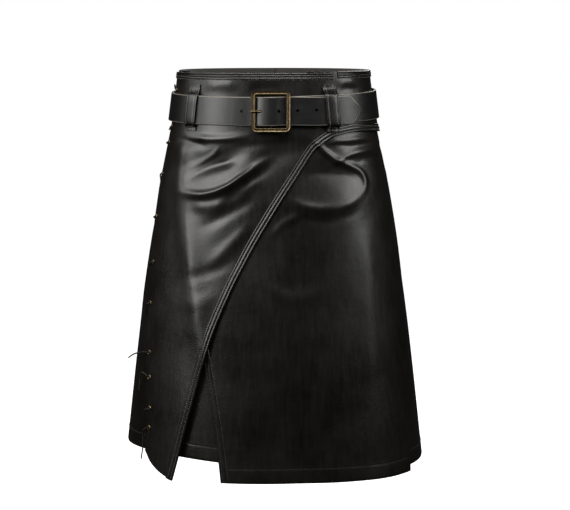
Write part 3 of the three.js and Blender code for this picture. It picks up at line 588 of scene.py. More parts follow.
def apron_out(deg: Array, z: Array) -> Array:
    """Inner face of the over apron, which stands off at its free edge and over the edge below it.

    Both are bells across the edge, and the first grows smoothly down the apron.

    Args:
        deg: degrees round the waist.
        z: heights.

    Returns:
        Millimetres out of the form.
    """
    step = (EDGES.read("under", z) + 2.2 - deg) / 5.5
    lift = 6.5 * smooth((-190 - z) / 280)
    near = np.exp(-(((DIAGONAL_BY_HEIGHT.read("deg", np.maximum(z, HEM_FRONT)) - deg) / 17) ** 2))
    return OVER + lift * near + 2.7 * smooth((-40 - z) / 25) * np.exp(-(step**2))


@dataclass(frozen=True)
class Layer:
    """One layer of leather round the form.

    Attributes:
        out: how far its inner face stands off at degrees and heights.
    """

    out: Callable[[Array, Array], Array]

    def point(self, deg: Array, z: Array, lift: Array | float = 0.0) -> Array:
        """Points on its outer face, or lift over it."""
        return place(deg, z, self.out(np.asarray(deg), np.asarray(z)) + LEATHER + lift)

    def tangents(self, deg: Array, z: Array) -> tuple[Array, Array]:
        """Change of its outer face for one degree round, and for one millimetre up."""
        east = (self.point(deg + 0.3, z) - self.point(deg - 0.3, z)) / 0.6
        up = (self.point(deg, z + 0.8) - self.point(deg, z - 0.8)) / 1.6
        return east, up

    def normal(self, deg: Array, z: Array) -> Array:
        """Outward unit normals."""
        return unit(np.cross(*self.tangents(np.asarray(deg, float), np.asarray(z, float))))

    def walk(self, route: Array, side: int) -> Array:
        """Find the way sideways in the leather from a route.

        The direction across is split into its shares of the two tangents by least squares.

        Args:
            route: rows of degrees and heights.
            side: 1 to go to the left of the route as seen from outside, and -1 to its right.

        Returns:
            Rows of the degrees and height that make one millimetre across.
        """
        deg, z = route.T
        east, up = self.tangents(deg, z)
        ahead = runs(self.point(deg, z))
        across = unit(np.cross(unit(np.cross(east, up)), ahead)) * side
        ee, eu, uu = (np.sum(a * b, axis=1) for a, b in ((east, east), (east, up), (up, up)))
        ae, au = np.sum(across * east, axis=1), np.sum(across * up, axis=1)
        span = ee * uu - eu**2
        return np.stack([(ae * uu - au * eu) / span, (au * ee - ae * eu) / span], axis=1)


def flat_layer(out: float) -> Layer:
    """A layer that stands off evenly."""
    return Layer(lambda deg, z: np.full(np.broadcast(deg, z).shape, out))


BACK_LAYER, UNDER_LAYER, OVER_LAYER = flat_layer(BACK), flat_layer(UNDER), Layer(apron_out)
BAND_FRONT_LAYER = flat_layer(OVER)


# ---- meshes ------------------------------------------------------------------------------------
def grid_faces(rows: int, cols: int, start: int = 0, closed: bool = False) -> Array:
    """Quads of a grid of points that are numbered row by row.

    Args:
        rows: how many rows.
        cols: how many columns.
        start: number of the first point.
        closed: whether the last column is joined to the first.

    Returns:
        Rows of four numbers.
    """
    k = np.arange(rows - 1)[:, None] * cols + np.arange(cols if closed else cols - 1)[None]
    right = k - k % cols + (k + 1) % cols
    return (np.stack([k, right, right + cols, k + cols], axis=-1) + start).reshape(-1, 4)


def volume(points: Array, faces: Sequence[Sequence[int]]) -> float:
    """Six times the signed volume of a closed mesh, from fans of its faces.

    Args:
        points: rows of coordinates.
        faces: each face's points.

    Returns:
        The sum of the triple products, over 0 where the faces point outward.
    """
    total = 0.0
    for count in {len(f) for f in faces}:
        f = np.array([face for face in faces if len(face) == count])
        for k in range(1, count - 1):
            a, b, c = points[f[:, 0]], points[f[:, k]], points[f[:, k + 1]]
            total += float(np.sum(a * np.cross(b, c)))
    return total


@dataclass
class Solid:
    """A closed mesh being put together, in millimetres.

    Attributes:
        points: rows of coordinates.
        faces: each face's points.
        marks: named values at each point.
        second: numbers of the faces that take the second finish.
    """

    points: Array
    faces: list[list[int]]
    marks: dict[str, Array] = field(default_factory=dict)
    second: list[int] = field(default_factory=list)

    def outward(self) -> Solid:
        """Turn every face outward, by the sign of the volume."""
        if volume(self.points, self.faces) < 0:
            self.faces = [f[::-1] for f in self.faces]
        return self

    def moved(self, matrix: Matrix) -> Solid:
        """Move the points by a matrix in millimetres."""
        m = np.array(matrix)
        self.points = self.points @ m[:3, :3].T + m[:3, 3]
        return self


def joined(solids: Sequence[Solid]) -> Solid:
    """Put closed meshes side by side in one.

    Args:
        solids: the meshes, which carry the same marks.

    Returns:
        One mesh of them all.
    """
    starts = np.cumsum([0, *(len(s.points) for s in solids)])
    faces = [[int(i) + int(start) for i in f] for s, start in zip(solids, starts) for f in s.faces]
    marks = {name: np.concatenate([s.marks[name] for s in solids]) for name in solids[0].marks}
    return Solid(np.vstack([s.points for s in solids]), faces, marks)


def wall(outer: Array, inner: Array) -> Solid:
    """Close two grids of points into a wall, with a rim of quads all round.

    Args:
        outer: rows by columns of points on the outer face.
        inner: the same on the inner face, which takes the second finish.

    Returns:
        The wall.
    """
    rows, cols = outer.shape[:2]
    n = rows * cols
    rim = np.r_[
        np.arange(cols),
        np.arange(2, rows + 1) * cols - 1,
        n - 2 - np.arange(cols - 1),
        (rows - 2 - np.arange(rows - 2)) * cols,
    ]
    ahead = np.roll(rim, -1)
    sides = np.stack([ahead, rim, rim + n, ahead + n], axis=1)
    face = grid_faces(rows, cols)
    faces = np.vstack([face, face[:, ::-1] + n, sides])
    second = list(range(len(face), 2 * len(face)))
    points = np.vstack([outer.reshape(-1, 3), inner.reshape(-1, 3)])
    return Solid(points, faces.tolist(), {}, second).outward()


def sweep(sections: Array, marks: dict[str, Array] | None = None, ring: bool = False) -> Solid:
    """Close a row of sections into a solid.

    Args:
        sections: sections by corners of points.
        marks: named values at each point.
        ring: whether the last section meets the first; otherwise both ends get a cap.

    Returns:
        The solid.
    """
    count, sides = sections.shape[:2]
    if ring:
        faces = grid_faces(count + 1, sides, closed=True) % (count * sides)
        return Solid(sections.reshape(-1, 3), faces.tolist(), marks or {}).outward()
    faces = grid_faces(count, sides, closed=True).tolist()
    faces += [list(range(sides))[::-1], list(range((count - 1) * sides, count * sides))]
    return Solid(sections.reshape(-1, 3), faces, marks or {}).outward()


def circle(radius: float, sides: int) -> Array:
    """Corners of a round section."""
    a = np.arange(sides) * 2 * np.pi / sides
    return radius * np.stack([np.cos(a), np.sin(a)], axis=1)


def tube(line: Array, radius: Array | float, sides: int, squash: float = 1.0) -> Solid:
    """Run a round section along a line, turning it without twist.

    Args:
        line: the middle of the bar.
        radius: its radius, one for all or one for each point.
        sides: corners of the section.
        squash: how thick the section is across, as a share of its width.

    Returns:
        The bar, closed at both ends.
    """
    ahead = runs(line)
    across = np.zeros_like(line)
    side = unit(np.cross(np.array([0.31, 0.2, 0.93]), ahead[0]))
    for i, run in enumerate(ahead):
        side = unit(side - (side @ run) * run)
        across[i] = side
    up = np.cross(ahead, across)
    ring = circle(1.0, sides) * (1, squash)
    reach = np.broadcast_to(np.asarray(radius, float), len(line))[:, None, None]
    spokes = ring[:, :1] * across[:, None] + ring[:, 1:] * up[:, None]
    return sweep(line[:, None] + reach * spokes)


def capped(line: Array, radius: float) -> tuple[Array, Array]:
    """Add rounded ends to a bar's line: four short steps where the radius falls along a circle.

    Args:
        line: the middle of the bar.
        radius: its radius.

    Returns:
        The longer line, and the radius at each of its points.
    """
    ahead = runs(line)
    a = np.radians([90, 70, 45, 20])
    radii = radius * np.cos(a) + 0.02
    first = line[0] - ahead[0] * radius * np.sin(a)[:, None]
    last = line[-1] + ahead[-1] * radius * np.sin(a)[::-1, None]
    return np.vstack([first, line, last]), np.r_[radii, np.full(len(line), radius), radii[::-1]]


# ---- finishes ----------------------------------------------------------------------------------
class Marks(str, Enum):
    """Values that meshes carry for their finishes."""

    # Rubbed metal on the brass; burnish and painted highlight on the strap's edges.
    WEAR = "wear"


# Sockets of a Mix node that mixes colours: its two inputs and its output.
MIX_A, MIX_B, MIXED = "6", "7", 2


def linear(code: str) -> tuple[float, float, float, float]:
    """Turn an sRGB code such as 1a2b3c into linear red, green, blue and 1."""
    parts = [int(code[i : i + 2], 16) / 255 for i in (0, 2, 4)]
    return (*(c / 12.92 if c <= 0.04045 else ((c + 0.055) / 1.055) ** 2.4 for c in parts), 1.0)


# Where most of a noise's values lie.
NOISE_SPAN = {"From Min": 0.3, "From Max": 0.7}


def scale_of(mm: float) -> float:
    """Scale of a pattern whose cells are so many millimetres across, on coordinates in metres."""
    return 1000 / mm


class Graph:
    """A material's nodes, added one at a time."""

    def __init__(self, name: str) -> None:
        """Make an empty material of that name."""
        self.material = bpy.data.materials.new(name)
        self.material.use_nodes = True
        self.tree = self.material.node_tree
        self.tree.nodes.clear()

    def add(
        self, kind: str, values: dict[str, object] | None = None, **settings: object
    ) -> bpy.types.Node:
        """Add a node.

        Args:
            kind: the node's type after ShaderNode.
            values: for each input, a value, or the output socket that feeds it.
            settings: the node's own properties.

        Returns:
            The node.
        """
        node = self.tree.nodes.new("ShaderNode" + kind)
        for name, value in settings.items():
            setattr(node, name, value)
        for name, value in (values or {}).items():
            socket = node.inputs[int(name)] if name.isdigit() else node.inputs[name]
            if isinstance(value, bpy.types.NodeSocket):
                self.tree.links.new(value, socket)
            else:
                socket.default_value = value
        return node

    def place(self, scale: Point = (1, 1, 1)) -> bpy.types.NodeSocket:
        """The point in metres on the object, stretched by scale."""
        point = self.add("TexCoord").outputs["Object"]
        return self.add("Mapping", {"Vector": point, "Scale": scale}).outputs["Vector"]

    def close(self, shader: bpy.types.NodeSocket) -> bpy.types.Material:
        """Join the shader to the output and hand back the material."""
        self.add("OutputMaterial", {"Surface": shader})
        return self.material


@dataclass(frozen=True)
class GarmentLeather:
    """Smooth black garment hide, drum dyed and lightly waxed.

    Attributes:
        name: the material's name.
        dark: colour in the hollows of its mottling.
        light: colour where the finish is rubbed thin.
        gloss: roughness at its shiniest.
        matt: roughness at its dullest.
        pore: size of a pore cell in millimetres.
        depth: height of the grain in millimetres.
        brushed: how much the finish looks streaked along the hang of the leather.
    """

    name: str
    dark: str = "060504"
    light: str = "110f0c"
    gloss: float = 0.28
    matt: float = 0.42
    pore: float = 1.5
    depth: float = 0.09
    brushed: float = 0.35

    def make(self) -> bpy.types.Material:
        """Pores from small cells, mottled gloss over hand-size clouds, and fine rumples."""
        g = Graph(self.name)
        point = g.place()
        # Clouds 60 mm across: where the wax is thin the black goes a little warm and grey.
        cloud = g.add(
            "TexNoise",
            {"Vector": point, "Scale": scale_of(60), "Detail": 4.0, "Roughness": 0.6},
        )
        # Streaks 5 mm wide and ten times as long, down the hang, as from rubbing and from the drum.
        streak = g.add(
            "TexNoise", {"Vector": g.place((1, 1, 0.1)), "Scale": scale_of(5), "Detail": 3.0}
        )
        blend = g.add(
            "Mix",
            {"Factor": self.brushed, "A": cloud.outputs["Fac"], "B": streak.outputs["Fac"]},
            data_type="FLOAT",
        )
        shade = g.add("MapRange", {"Value": blend.outputs["Result"], **NOISE_SPAN})
        colour = g.add(
            "Mix",
            {
                "Factor": shade.outputs["Result"],
                MIX_A: linear(self.dark),
                MIX_B: linear(self.light),
            },
            data_type="RGBA",
        )
        rough = g.add(
            "MapRange",
            {
                "Value": blend.outputs["Result"],
                **NOISE_SPAN,
                "To Min": self.gloss,
                "To Max": self.matt,
            },
        )
        # Pore cells, which break up the edge of a highlight. They are drawn twice as coarse as
        # real ones, which would be too fine to show.
        cells = g.add(
            "TexVoronoi", {"Vector": point, "Scale": scale_of(self.pore), "Randomness": 0.9}
        )
        grain = g.add(
            "Bump",
            {"Height": cells.outputs["Distance"], "Distance": self.depth * MM, "Strength": 0.5},
        )
        # Fine rumples 9 mm across and half a millimetre deep, the give of a soft hide.
        rumple = g.add(
            "TexNoise",
            {"Vector": point, "Scale": scale_of(9), "Detail": 3.0, "Roughness": 0.55},
        )
        relief = g.add(
            "Bump",
            {
                "Height": rumple.outputs["Fac"],
                "Distance": 0.5 * MM,
                "Strength": 0.42,
                "Normal": grain.outputs["Normal"],
            },
        )
        shader = g.add(
            "BsdfPrincipled",
            {
                "Base Color": colour.outputs[MIXED],
                "Roughness": rough.outputs["Result"],
                "Specular IOR Level": 0.5,
                "Coat Weight": 0.2,
                "Coat Roughness": 0.2,
                "Normal": relief.outputs["Normal"],
            },
        )
        return g.close(shader.outputs["BSDF"])


@dataclass(frozen=True)
class Suede:
    """The flesh side of the hide, inside the garment: matt, fibrous and a little grey.

    Attributes:
        name: the material's name.
        dark: colour between the fibres.
        light: colour of the nap.
    """

    name: str
    dark: str = "0d0c0b"
    light: str = "27241f"

    def make(self) -> bpy.types.Material:
        """Nap from fine noise and clouds where it has been brushed two ways."""
        g = Graph(self.name)
        point = g.place()
        # Tufts of fibre 0.8 mm wide, coarser than single fibres, which would be too fine to show,
        # and 25 mm clouds of nap that lies two ways.
        nap = g.add("TexNoise", {"Vector": point, "Scale": scale_of(0.8), "Detail": 2.0})
        cloud = g.add("TexNoise", {"Vector": point, "Scale": scale_of(25), "Detail": 3.0})
        both = g.add(
            "Math", {"0": nap.outputs["Fac"], "1": cloud.outputs["Fac"]}, operation="MULTIPLY"
        )
        share = g.add("MapRange", {"Value": both.outputs[0], "From Min": 0.12, "From Max": 0.42})
        colour = g.add(
            "Mix",
            {
                "Factor": share.outputs["Result"],
                MIX_A: linear(self.dark),
                MIX_B: linear(self.light),
            },
            data_type="RGBA",
        )
        bump = g.add("Bump", {"Height": nap.outputs["Fac"], "Distance": 0.2 * MM, "Strength": 0.6})
        shader = g.add(
            "BsdfPrincipled",
            {
                "Base Color": colour.outputs[MIXED],
                "Roughness": 0.92,
                "Sheen Weight": 0.35,
                "Sheen Roughness": 0.6,
                "Normal": bump.outputs["Normal"],
            },
        )
        return g.close(shader.outputs["BSDF"])


@dataclass(frozen=True)
class StrapLeather:
    """Firm black strap leather with edges burnished to a paler line, lightened further as a painted
    highlight of the rounded edges.

    Attributes:
        name: the material's name.
        body: colour of the face.
        edge: colour of the burnished edge, which also paints the highlight that a rounded edge
            catches.
        rough: roughness of the face.
    """

    name: str
    body: str = "0a0a0a"
    edge: str = "989286"
    rough: float = 0.36

    def make(self) -> bpy.types.Material:
        """A tight pored face, faint lengthwise rubbing, and a mark on the mesh for the edges'
        burnish and painted highlight.
        """
        g = Graph(self.name)
        point = g.place()
        # Scuffs 2.5 mm high and eight times as long round the waist, from pulling the strap
        # through its loops.
        scuff = g.add(
            "TexNoise",
            {"Vector": g.place((0.12, 0.12, 1)), "Scale": scale_of(2.5), "Detail": 4.0},
        )
        # Tight pores 0.6 mm wide, which take the mirror off the face.
        cells = g.add("TexVoronoi", {"Vector": point, "Scale": scale_of(0.6), "Randomness": 1.0})
        rough = g.add(
            "MapRange",
            {
                "Value": scuff.outputs["Fac"],
                **NOISE_SPAN,
                "To Min": self.rough - 0.03,
                "To Max": self.rough + 0.04,
            },
        )
        # The edges go pale where the mesh is marked: burnish, and a painted highlight of the
        # rounded edge, strongest at the point.
        worn = g.add("Attribute", attribute_name=Marks.WEAR.value)
        edge = g.add(
            "Mix",
            {"Factor": worn.outputs["Fac"], MIX_A: linear(self.body), MIX_B: linear(self.edge)},
            data_type="RGBA",
        )
        bump = g.add(
            "Bump",
            {"Height": cells.outputs["Distance"], "Distance": 0.03 * MM, "Strength": 0.4},
        )
        shader = g.add(
            "BsdfPrincipled",
            {
                "Base Color": edge.outputs[MIXED],
                "Roughness": rough.outputs["Result"],
                "Specular IOR Level": 0.5,
                "Coat Weight": 0.2,
                "Coat Roughness": 0.25,
                "Normal": bump.outputs["Normal"],
            },
        )
        return g.close(shader.outputs["BSDF"])


@dataclass(frozen=True)
class AgedBrass:
    """Cast brass, polished once and gone brown in its hollows.

    Attributes:
        name: the material's name.
        bright: colour of the rubbed metal.
        brown: colour of the tarnish.
        rough: roughness of the rubbed metal.
    """

    name: str
    bright: str = "72634a"
    brown: str = "211b12"
    rough: float = 0.32

    def make(self) -> bpy.types.Material:
        """Tarnish in clouds and away from the rubbed ridges, over fine casting marks."""
        g = Graph(self.name)
        point = g.place()
        # Tarnish in 4 mm spots, held back where the mesh is marked as rubbed.
        spots = g.add(
            "TexNoise",
            {"Vector": point, "Scale": scale_of(4), "Detail": 5.0, "Roughness": 0.65},
        )
        rubbed = g.add("Attribute", attribute_name=Marks.WEAR.value)
        bare = g.add(
            "Math", {"0": spots.outputs["Fac"], "1": rubbed.outputs["Fac"]}, operation="ADD"
        )
        share = g.add("MapRange", {"Value": bare.outputs[0], "From Min": 0.45, "From Max": 1.1})
        colour = g.add(
            "Mix",
            {
                "Factor": share.outputs["Result"],
                MIX_A: linear(self.brown),
                MIX_B: linear(self.bright),
            },
            data_type="RGBA",
        )
        rough = g.add(
            "MapRange",
            {"Value": share.outputs["Result"], "To Min": self.rough + 0.26, "To Max": self.rough},
        )
        bump = g.add(
            "Bump", {"Height": spots.outputs["Fac"], "Distance": 0.12 * MM, "Strength": 0.35}
        )
        shader = g.add(
            "BsdfPrincipled",
            {
                "Base Color": colour.outputs[MIXED],
                "Metallic": 1.0,
                "Roughness": rough.outputs["Result"],
                "Normal": bump.outputs["Normal"],
            },
        )
        return g.close(shader.outputs["BSDF"])


@dataclass(frozen=True)
class Strands:
    """Thread or thong: a matt twisted or rolled strand.

    Attributes:
        name: the material's name.
        dark: painted shade in the lay of the strand.
        light: painted highlight on its crown.
        pitch: distance between turns in millimetres.
        rough: roughness.
    """

    name: str
    dark: str
    light: str
    pitch: float
    rough: float

    def make(self) -> bpy.types.Material:
        """Bands of painted highlight and shade along the strand, roughened so that no two are the
        same.
        """
        g = Graph(self.name)
        # Bands of painted highlight and shade about four turns long, bent by fine noise: single
        # turns are too fine to show.
        turns = g.add(
            "TexWave",
            {
                "Vector": g.place(),
                "Scale": scale_of(self.pitch) / (2 * math.pi),
                "Distortion": 3.0,
                "Detail": 2.0,
            },
            bands_direction="DIAGONAL",
        )
        colour = g.add(
            "Mix",
            {"Factor": turns.outputs["Fac"], MIX_A: linear(self.dark), MIX_B: linear(self.light)},
            data_type="RGBA",
        )
        bump = g.add(
            "Bump", {"Height": turns.outputs["Fac"], "Distance": 0.08 * MM, "Strength": 0.5}
        )
        shader = g.add(
            "BsdfPrincipled",
            {
                "Base Color": colour.outputs[MIXED],
                "Roughness": self.rough,
                "Normal": bump.outputs["Normal"],
            },
        )
        return g.close(shader.outputs["BSDF"])


@dataclass(frozen=True)
class Backdrop:
    """The pale studio floor.

    Attributes:
        name: the material's name.
        tone: its colour.
    """

    name: str
    tone: str = "f7f7f7"

    def make(self) -> bpy.types.Material:
        """A matt paint with hardly any unevenness."""
        g = Graph(self.name)
        # Rolled paint: patches 200 mm across differ a little in gloss.
        patch = g.add("TexNoise", {"Vector": g.place(), "Scale": scale_of(200)})
        rough = g.add("MapRange", {"Value": patch.outputs["Fac"], "To Min": 0.85, "To Max": 0.95})
        shader = g.add(
            "BsdfPrincipled",
            {
                "Base Color": linear(self.tone),
                "Roughness": rough.outputs["Result"],
                "Emission Color": linear(self.tone),
                "Emission Strength": 1.08,
            },
        )
        return g.close(shader.outputs["BSDF"])


class Finishes:
    """The materials, made once each."""

    def __init__(self) -> None:
        """Make every material."""
        self.hide = GarmentLeather("black garment leather, waxed").make()
        self.edge = GarmentLeather(
            "black garment leather, turned edge", gloss=0.26, matt=0.4, brushed=0.2
        ).make()
        self.suede = Suede("black suede, flesh side of the hide").make()
        self.strap = StrapLeather("black strap leather, burnished edge").make()
        self.brass = AgedBrass("aged brass, cast and rubbed").make()
        self.eyelet = AgedBrass("aged brass, pressed eyelet", bright="a8956a", rough=0.3).make()
        # The waxed thread's light grey bands paint its sheen: the thread itself is black.
        self.thread = Strands("black waxed thread, twisted", "343434", "7c7b79", 0.7, 0.4).make()
        self.plain_thread = Strands("black thread, dull", "141414", "3a3a39", 0.7, 0.5).make()
        self.thong = Strands(
            "black leather thong, cut and rolled", "0a0908", "1d1a17", 4.0, 0.6
        ).make()


class Slot(str, Enum):
    """Material slots of the record."""

    LEATHER = "leather"
    BELT = "belt_leather"
    BRASS = "brass"
    LACE = "lace"


# ---- making pieces -----------------------------------------------------------------------------
def piece(
    name: str,
    solid: Solid,
    materials: Sequence[bpy.types.Material],
    slot: Slot,
    nodes: Sequence[str] = (),
    sharp: float = BENT_SHARP,
) -> bpy.types.Object:
    """Make an object of a solid, in metres, and let it ride on the garment.

    Args:
        name: the piece's name.
        solid: its mesh in millimetres.
        materials: its finish, and the one of its second faces.
        slot: not used.
        nodes: the solids that it stands for.
        sharp: edges bent more than this many degrees stay crisp.

    Returns:
        The object.
    """
    name += "_dressed" if nodes else ""
    mesh = bpy.data.meshes.new(name)
    mesh.from_pydata((solid.points * MM).tolist(), [], solid.faces)
    for mark, values in solid.marks.items():
        layer = mesh.attributes.new(mark, "FLOAT", "POINT")
        layer.data.foreach_set("value", np.asarray(values, np.float32))
    for material in materials:
        mesh.materials.append(material)
    if solid.second and len(materials) > 1:
        index = np.zeros(len(mesh.polygons), np.int32)
        index[solid.second] = 1
        mesh.polygons.foreach_set("material_index", index)
    mesh.polygons.foreach_set("use_smooth", np.ones(len(mesh.polygons), bool))
    mesh.set_sharp_from_angle(angle=math.radians(sharp))
    mesh.update()
    obj = bpy.data.objects.new(name, mesh)
    bpy.context.scene.collection.objects.link(obj)
    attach(obj, "root")
    if nodes:
        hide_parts(*nodes)
    return obj


def bored(obj: bpy.types.Object, cutters: Sequence[Solid]) -> None:
    """Cut holes through a piece and keep the result as its mesh.

    Args:
        obj: the piece.
        cutters: closed solids, in millimetres, to take away.
    """
    tool = joined(cutters)
    mesh = bpy.data.meshes.new("cutter")
    mesh.from_pydata((tool.points * MM).tolist(), [], tool.faces)
    cutter = bpy.data.objects.new("cutter", mesh)
    bpy.context.scene.collection.objects.link(cutter)
    modifier = obj.modifiers.new("bore", "BOOLEAN")
    modifier.operation, modifier.solver, modifier.object = "DIFFERENCE", "MANIFOLD", cutter
    graph = bpy.context.evaluated_depsgraph_get()
    cut = bpy.data.meshes.new_from_object(obj.evaluated_get(graph))
    obj.modifiers.clear()
    old, name = obj.data, obj.data.name
    obj.data = cut
    bpy.data.meshes.remove(old)
    cut.name = name
    cut.set_sharp_from_angle(angle=math.radians(BENT_SHARP))
    bpy.data.objects.remove(cutter)
    bpy.data.meshes.remove(mesh)


# Corners of a thread's section, and its radius along a stitch as shares of the full one.
THREAD_SIDES, THREAD_TAPER = 6, (0.55, 1, 1, 1, 0.55)


@dataclass(frozen=True)
class Stitching:
    """A row of stitches.

    Attributes:
        pitch: distance from stitch to stitch.
        length: length of the thread that shows.
        radius: the thread's radius.
    """

    pitch: float = 3.4
    length: float = 2.4
    radius: float = 0.42

    def sew(self, line: Array, normal: Array) -> Solid:
        """Lay stitches along a line.

        Each is a short bar whose middle stands out and whose ends dip into the leather: its height
        over the line goes as the cosine of the way from its middle.

        Args:
            line: points on the leather, in millimetres.
            normal: the leather's normals there.

        Returns:
            All stitches in one mesh.
        """
        total = lengths(line)[-1]
        count = max(1, int((total - self.length) // self.pitch))
        middle = (total - (count - 1) * self.pitch) / 2 + np.arange(count) * self.pitch
        t = np.linspace(-0.5, 0.5, len(THREAD_TAPER))
        at = middle[:, None] + t * self.length
        height = self.radius * (1.5 * np.cos(np.pi * t) - 0.7)
        out = unit(along(line, normal, at))
        centre = along(line, line, at) + out * height[None, :, None]
        ahead = unit(np.gradient(centre, axis=1))
        side = unit(np.cross(out, ahead))
        corner = np.arange(THREAD_SIDES)
        a = corner * 2 * np.pi / THREAD_SIDES
        size = self.radius * np.array(THREAD_TAPER)[None, :, None, None]
        ring = np.cos(a)[:, None] * side[:, :, None] + np.sin(a)[:, None] * out[:, :, None]
        points = centre[:, :, None] + size * ring
        one = grid_faces(len(t), THREAD_SIDES, closed=True)[:, ::-1]
        caps = np.array([corner, (len(t) - 1) * THREAD_SIDES + corner[::-1]])
        start = np.arange(count)[:, None, None] * len(t) * THREAD_SIDES
        faces = (one[None] + start).reshape(-1, 4).tolist()
        faces += (caps[None] + start).reshape(-1, THREAD_SIDES).tolist()
        return Solid(points.reshape(-1, 3), faces).outward()


@dataclass(frozen=True)
class Edging:
    """A turned edge that lies on a panel: padded ridges side by side, with sewing in the grooves.

    Attributes:
        width: of the band.
        grooves: distances from the edge of the grooves, in order.
        rows: distances from the edge of the rows of stitches.
        ridges: height of each ridge, from the edge inward.
        base: height of the band under the ridges.
    """

    width: float
    grooves: tuple[float, ...]
    rows: tuple[float, ...]
    ridges: tuple[float, ...]
    base: float = 0.7

    def height(self, w: Array) -> Array:
        """Rise over the panel at a distance from the edge.

        Each ridge is a flattened sine from groove to groove, on a base rounded at both sides.

        Args:
            w: distances from the edge.

        Returns:
            Heights in millimetres.
        """
        ends = np.array([0.0, *self.grooves, self.width])
        k = np.clip(np.searchsorted(ends, w, side="right") - 1, 0, len(self.ridges) - 1)
        arc = np.abs(np.sin(np.pi * (w - ends[k]) / (ends[k + 1] - ends[k]))) ** 0.65
        base = np.minimum(1, np.maximum(0, np.minimum(w + 0.25, self.width - w) / 0.9)) ** 0.5
        return self.base * base + np.array(self.ridges)[k] * arc

    def band(self, layer: Layer, route: Array, side: int) -> Solid:
        """Lay the band along a route on a layer.

        Args:
            layer: the leather below.
            route: the edge, as rows of degrees and heights.
            side: which way the band goes from the edge, as in Layer.walk.

        Returns:
            The band as a closed strip.
        """
        w = np.linspace(0, self.width, 37)
        lift = np.r_[self.height(w), np.full(7, 0.04)]
        w = np.r_[w, w[::-6]]
        across = layer.walk(route, side)
        at = route[:, None] + across[:, None] * w[None, :, None]
        return sweep(layer.point(at[..., 0], at[..., 1], lift[None]))

    def stitches(self, layer: Layer, route: Array, side: int) -> Solid:
        """Sew its rows.

        Args:
            layer: the leather below.
            route: the edge, as rows of degrees and heights.
            side: which way the band goes from the edge.

        Returns:
            Every row's stitches in one mesh.
        """
        sewn = []
        for w in self.rows:
            path = route + layer.walk(route, side) * w
            line = layer.point(*path.T, self.height(np.array(w)))
            sewn.append(Stitching().sew(line, layer.normal(*path.T)))
        return joined(sewn)


def levels(top: float, foot: Array, count: int, hems: Sequence[float] = ()) -> Array:
    """Heights of a panel's rows in each column, closer together at the top, where the creases are.

    Args:
        top: the upper edge.
        foot: the hem of each column.
        count: rows above the hem.
        hems: heights over the hem that get a row of their own.

    Returns:
        Columns by rows of heights, from top to foot.
    """
    rows = [foot[:, None] + np.array(sorted(hems, reverse=True))[None]] if hems else []
    start = foot + (max(hems) + 3 if hems else 0)
    t = np.linspace(0, 1, count)[None]
    body = top + (start[:, None] - top) * (0.35 * t + 0.65 * t**2)
    return np.concatenate([body, *rows], axis=1)


# A turned hem: the height of its stitches, and of the mesh's rows over the hem's edge.
HEM_STITCH = 21.0
HEM_ROWS = (24.0, 22.2, 21.4, 20.6, 19.8, 18.0, 12.0, 6.0, 2.0, 0.8, 0.0)


def seamed(count: int) -> tuple[Array, Array]:
    """Columns of a panel between two seams.

    Args:
        count: columns between the seams.

    Returns:
        Shares of the way across, close together at both seams, and the relief of each column,
        which rolls down into the seams.
    """
    share = np.r_[0, 0.006, 0.014, np.linspace(0.024, 0.976, count), 0.986, 0.994, 1]
    return share, SEAM_RELIEF * (1 - smooth(np.minimum(share, 1 - share) / 0.014))


def hem_fold(z: Array, foot: Array) -> Array:
    """Relief of a turned hem.

    A smooth step makes it thicker below, a bell sinks its stitches in a groove, and a second step
    rounds its edge.

    Args:
        z: heights.
        foot: the hem's edge.

    Returns:
        Millimetres over the plain leather.
    """
    up = z - foot
    thicker, edge = 0.25 * smooth((23.2 - up) / 1.6), 0.5 * smooth((1.6 - up) / 1.6)
    groove = 0.3 * np.exp(-(((up - HEM_STITCH) / 0.9) ** 2))
    return thicker - groove - edge


@dataclass
class Panel:
    """One cut piece of leather on the form.

    Attributes:
        name: of the piece and its solid.
        layer: where it lies.
        deg: columns by rows of degrees.
        z: the same of heights.
        relief: what its outer face stands out over the layer.
    """

    name: str
    layer: Layer
    deg: Array
    z: Array
    relief: Array | float = 0.0

    def solid(self) -> Solid:
        """The wall between its faces."""
        outer = self.layer.point(self.deg, self.z, self.relief)
        return wall(outer, self.layer.point(self.deg, self.z, -LEATHER))

    def cut(self) -> tuple[float, float, float]:
        """Measure the flat piece that was cut for it.

        Returns:
            Its width, the longest run round the form as seen from above, its length, down its
            longest column, and its area, in metres.
        """
        p = self.layer.point(self.deg, self.z) * MM
        width = max(lengths(p[:, k, :2])[-1] for k in range(0, p.shape[1], 8))
        length = max(lengths(p[k])[-1] for k in range(0, p.shape[0], 8))
        a, b = p[1:, 1:] - p[:-1, :-1], p[1:, :-1] - p[:-1, 1:]
        area = float(np.sum(np.linalg.norm(np.cross(a, b), axis=-1)) / 2)
        return width, length, min(area, width * length)


# Share of the over apron's width where its diagonal passes under the belt, with fewer columns past.
OPEN_END = 0.655
# Columns of the under apron that its turned edge covers, which have no sewn hem of their own.
COVERED = 8


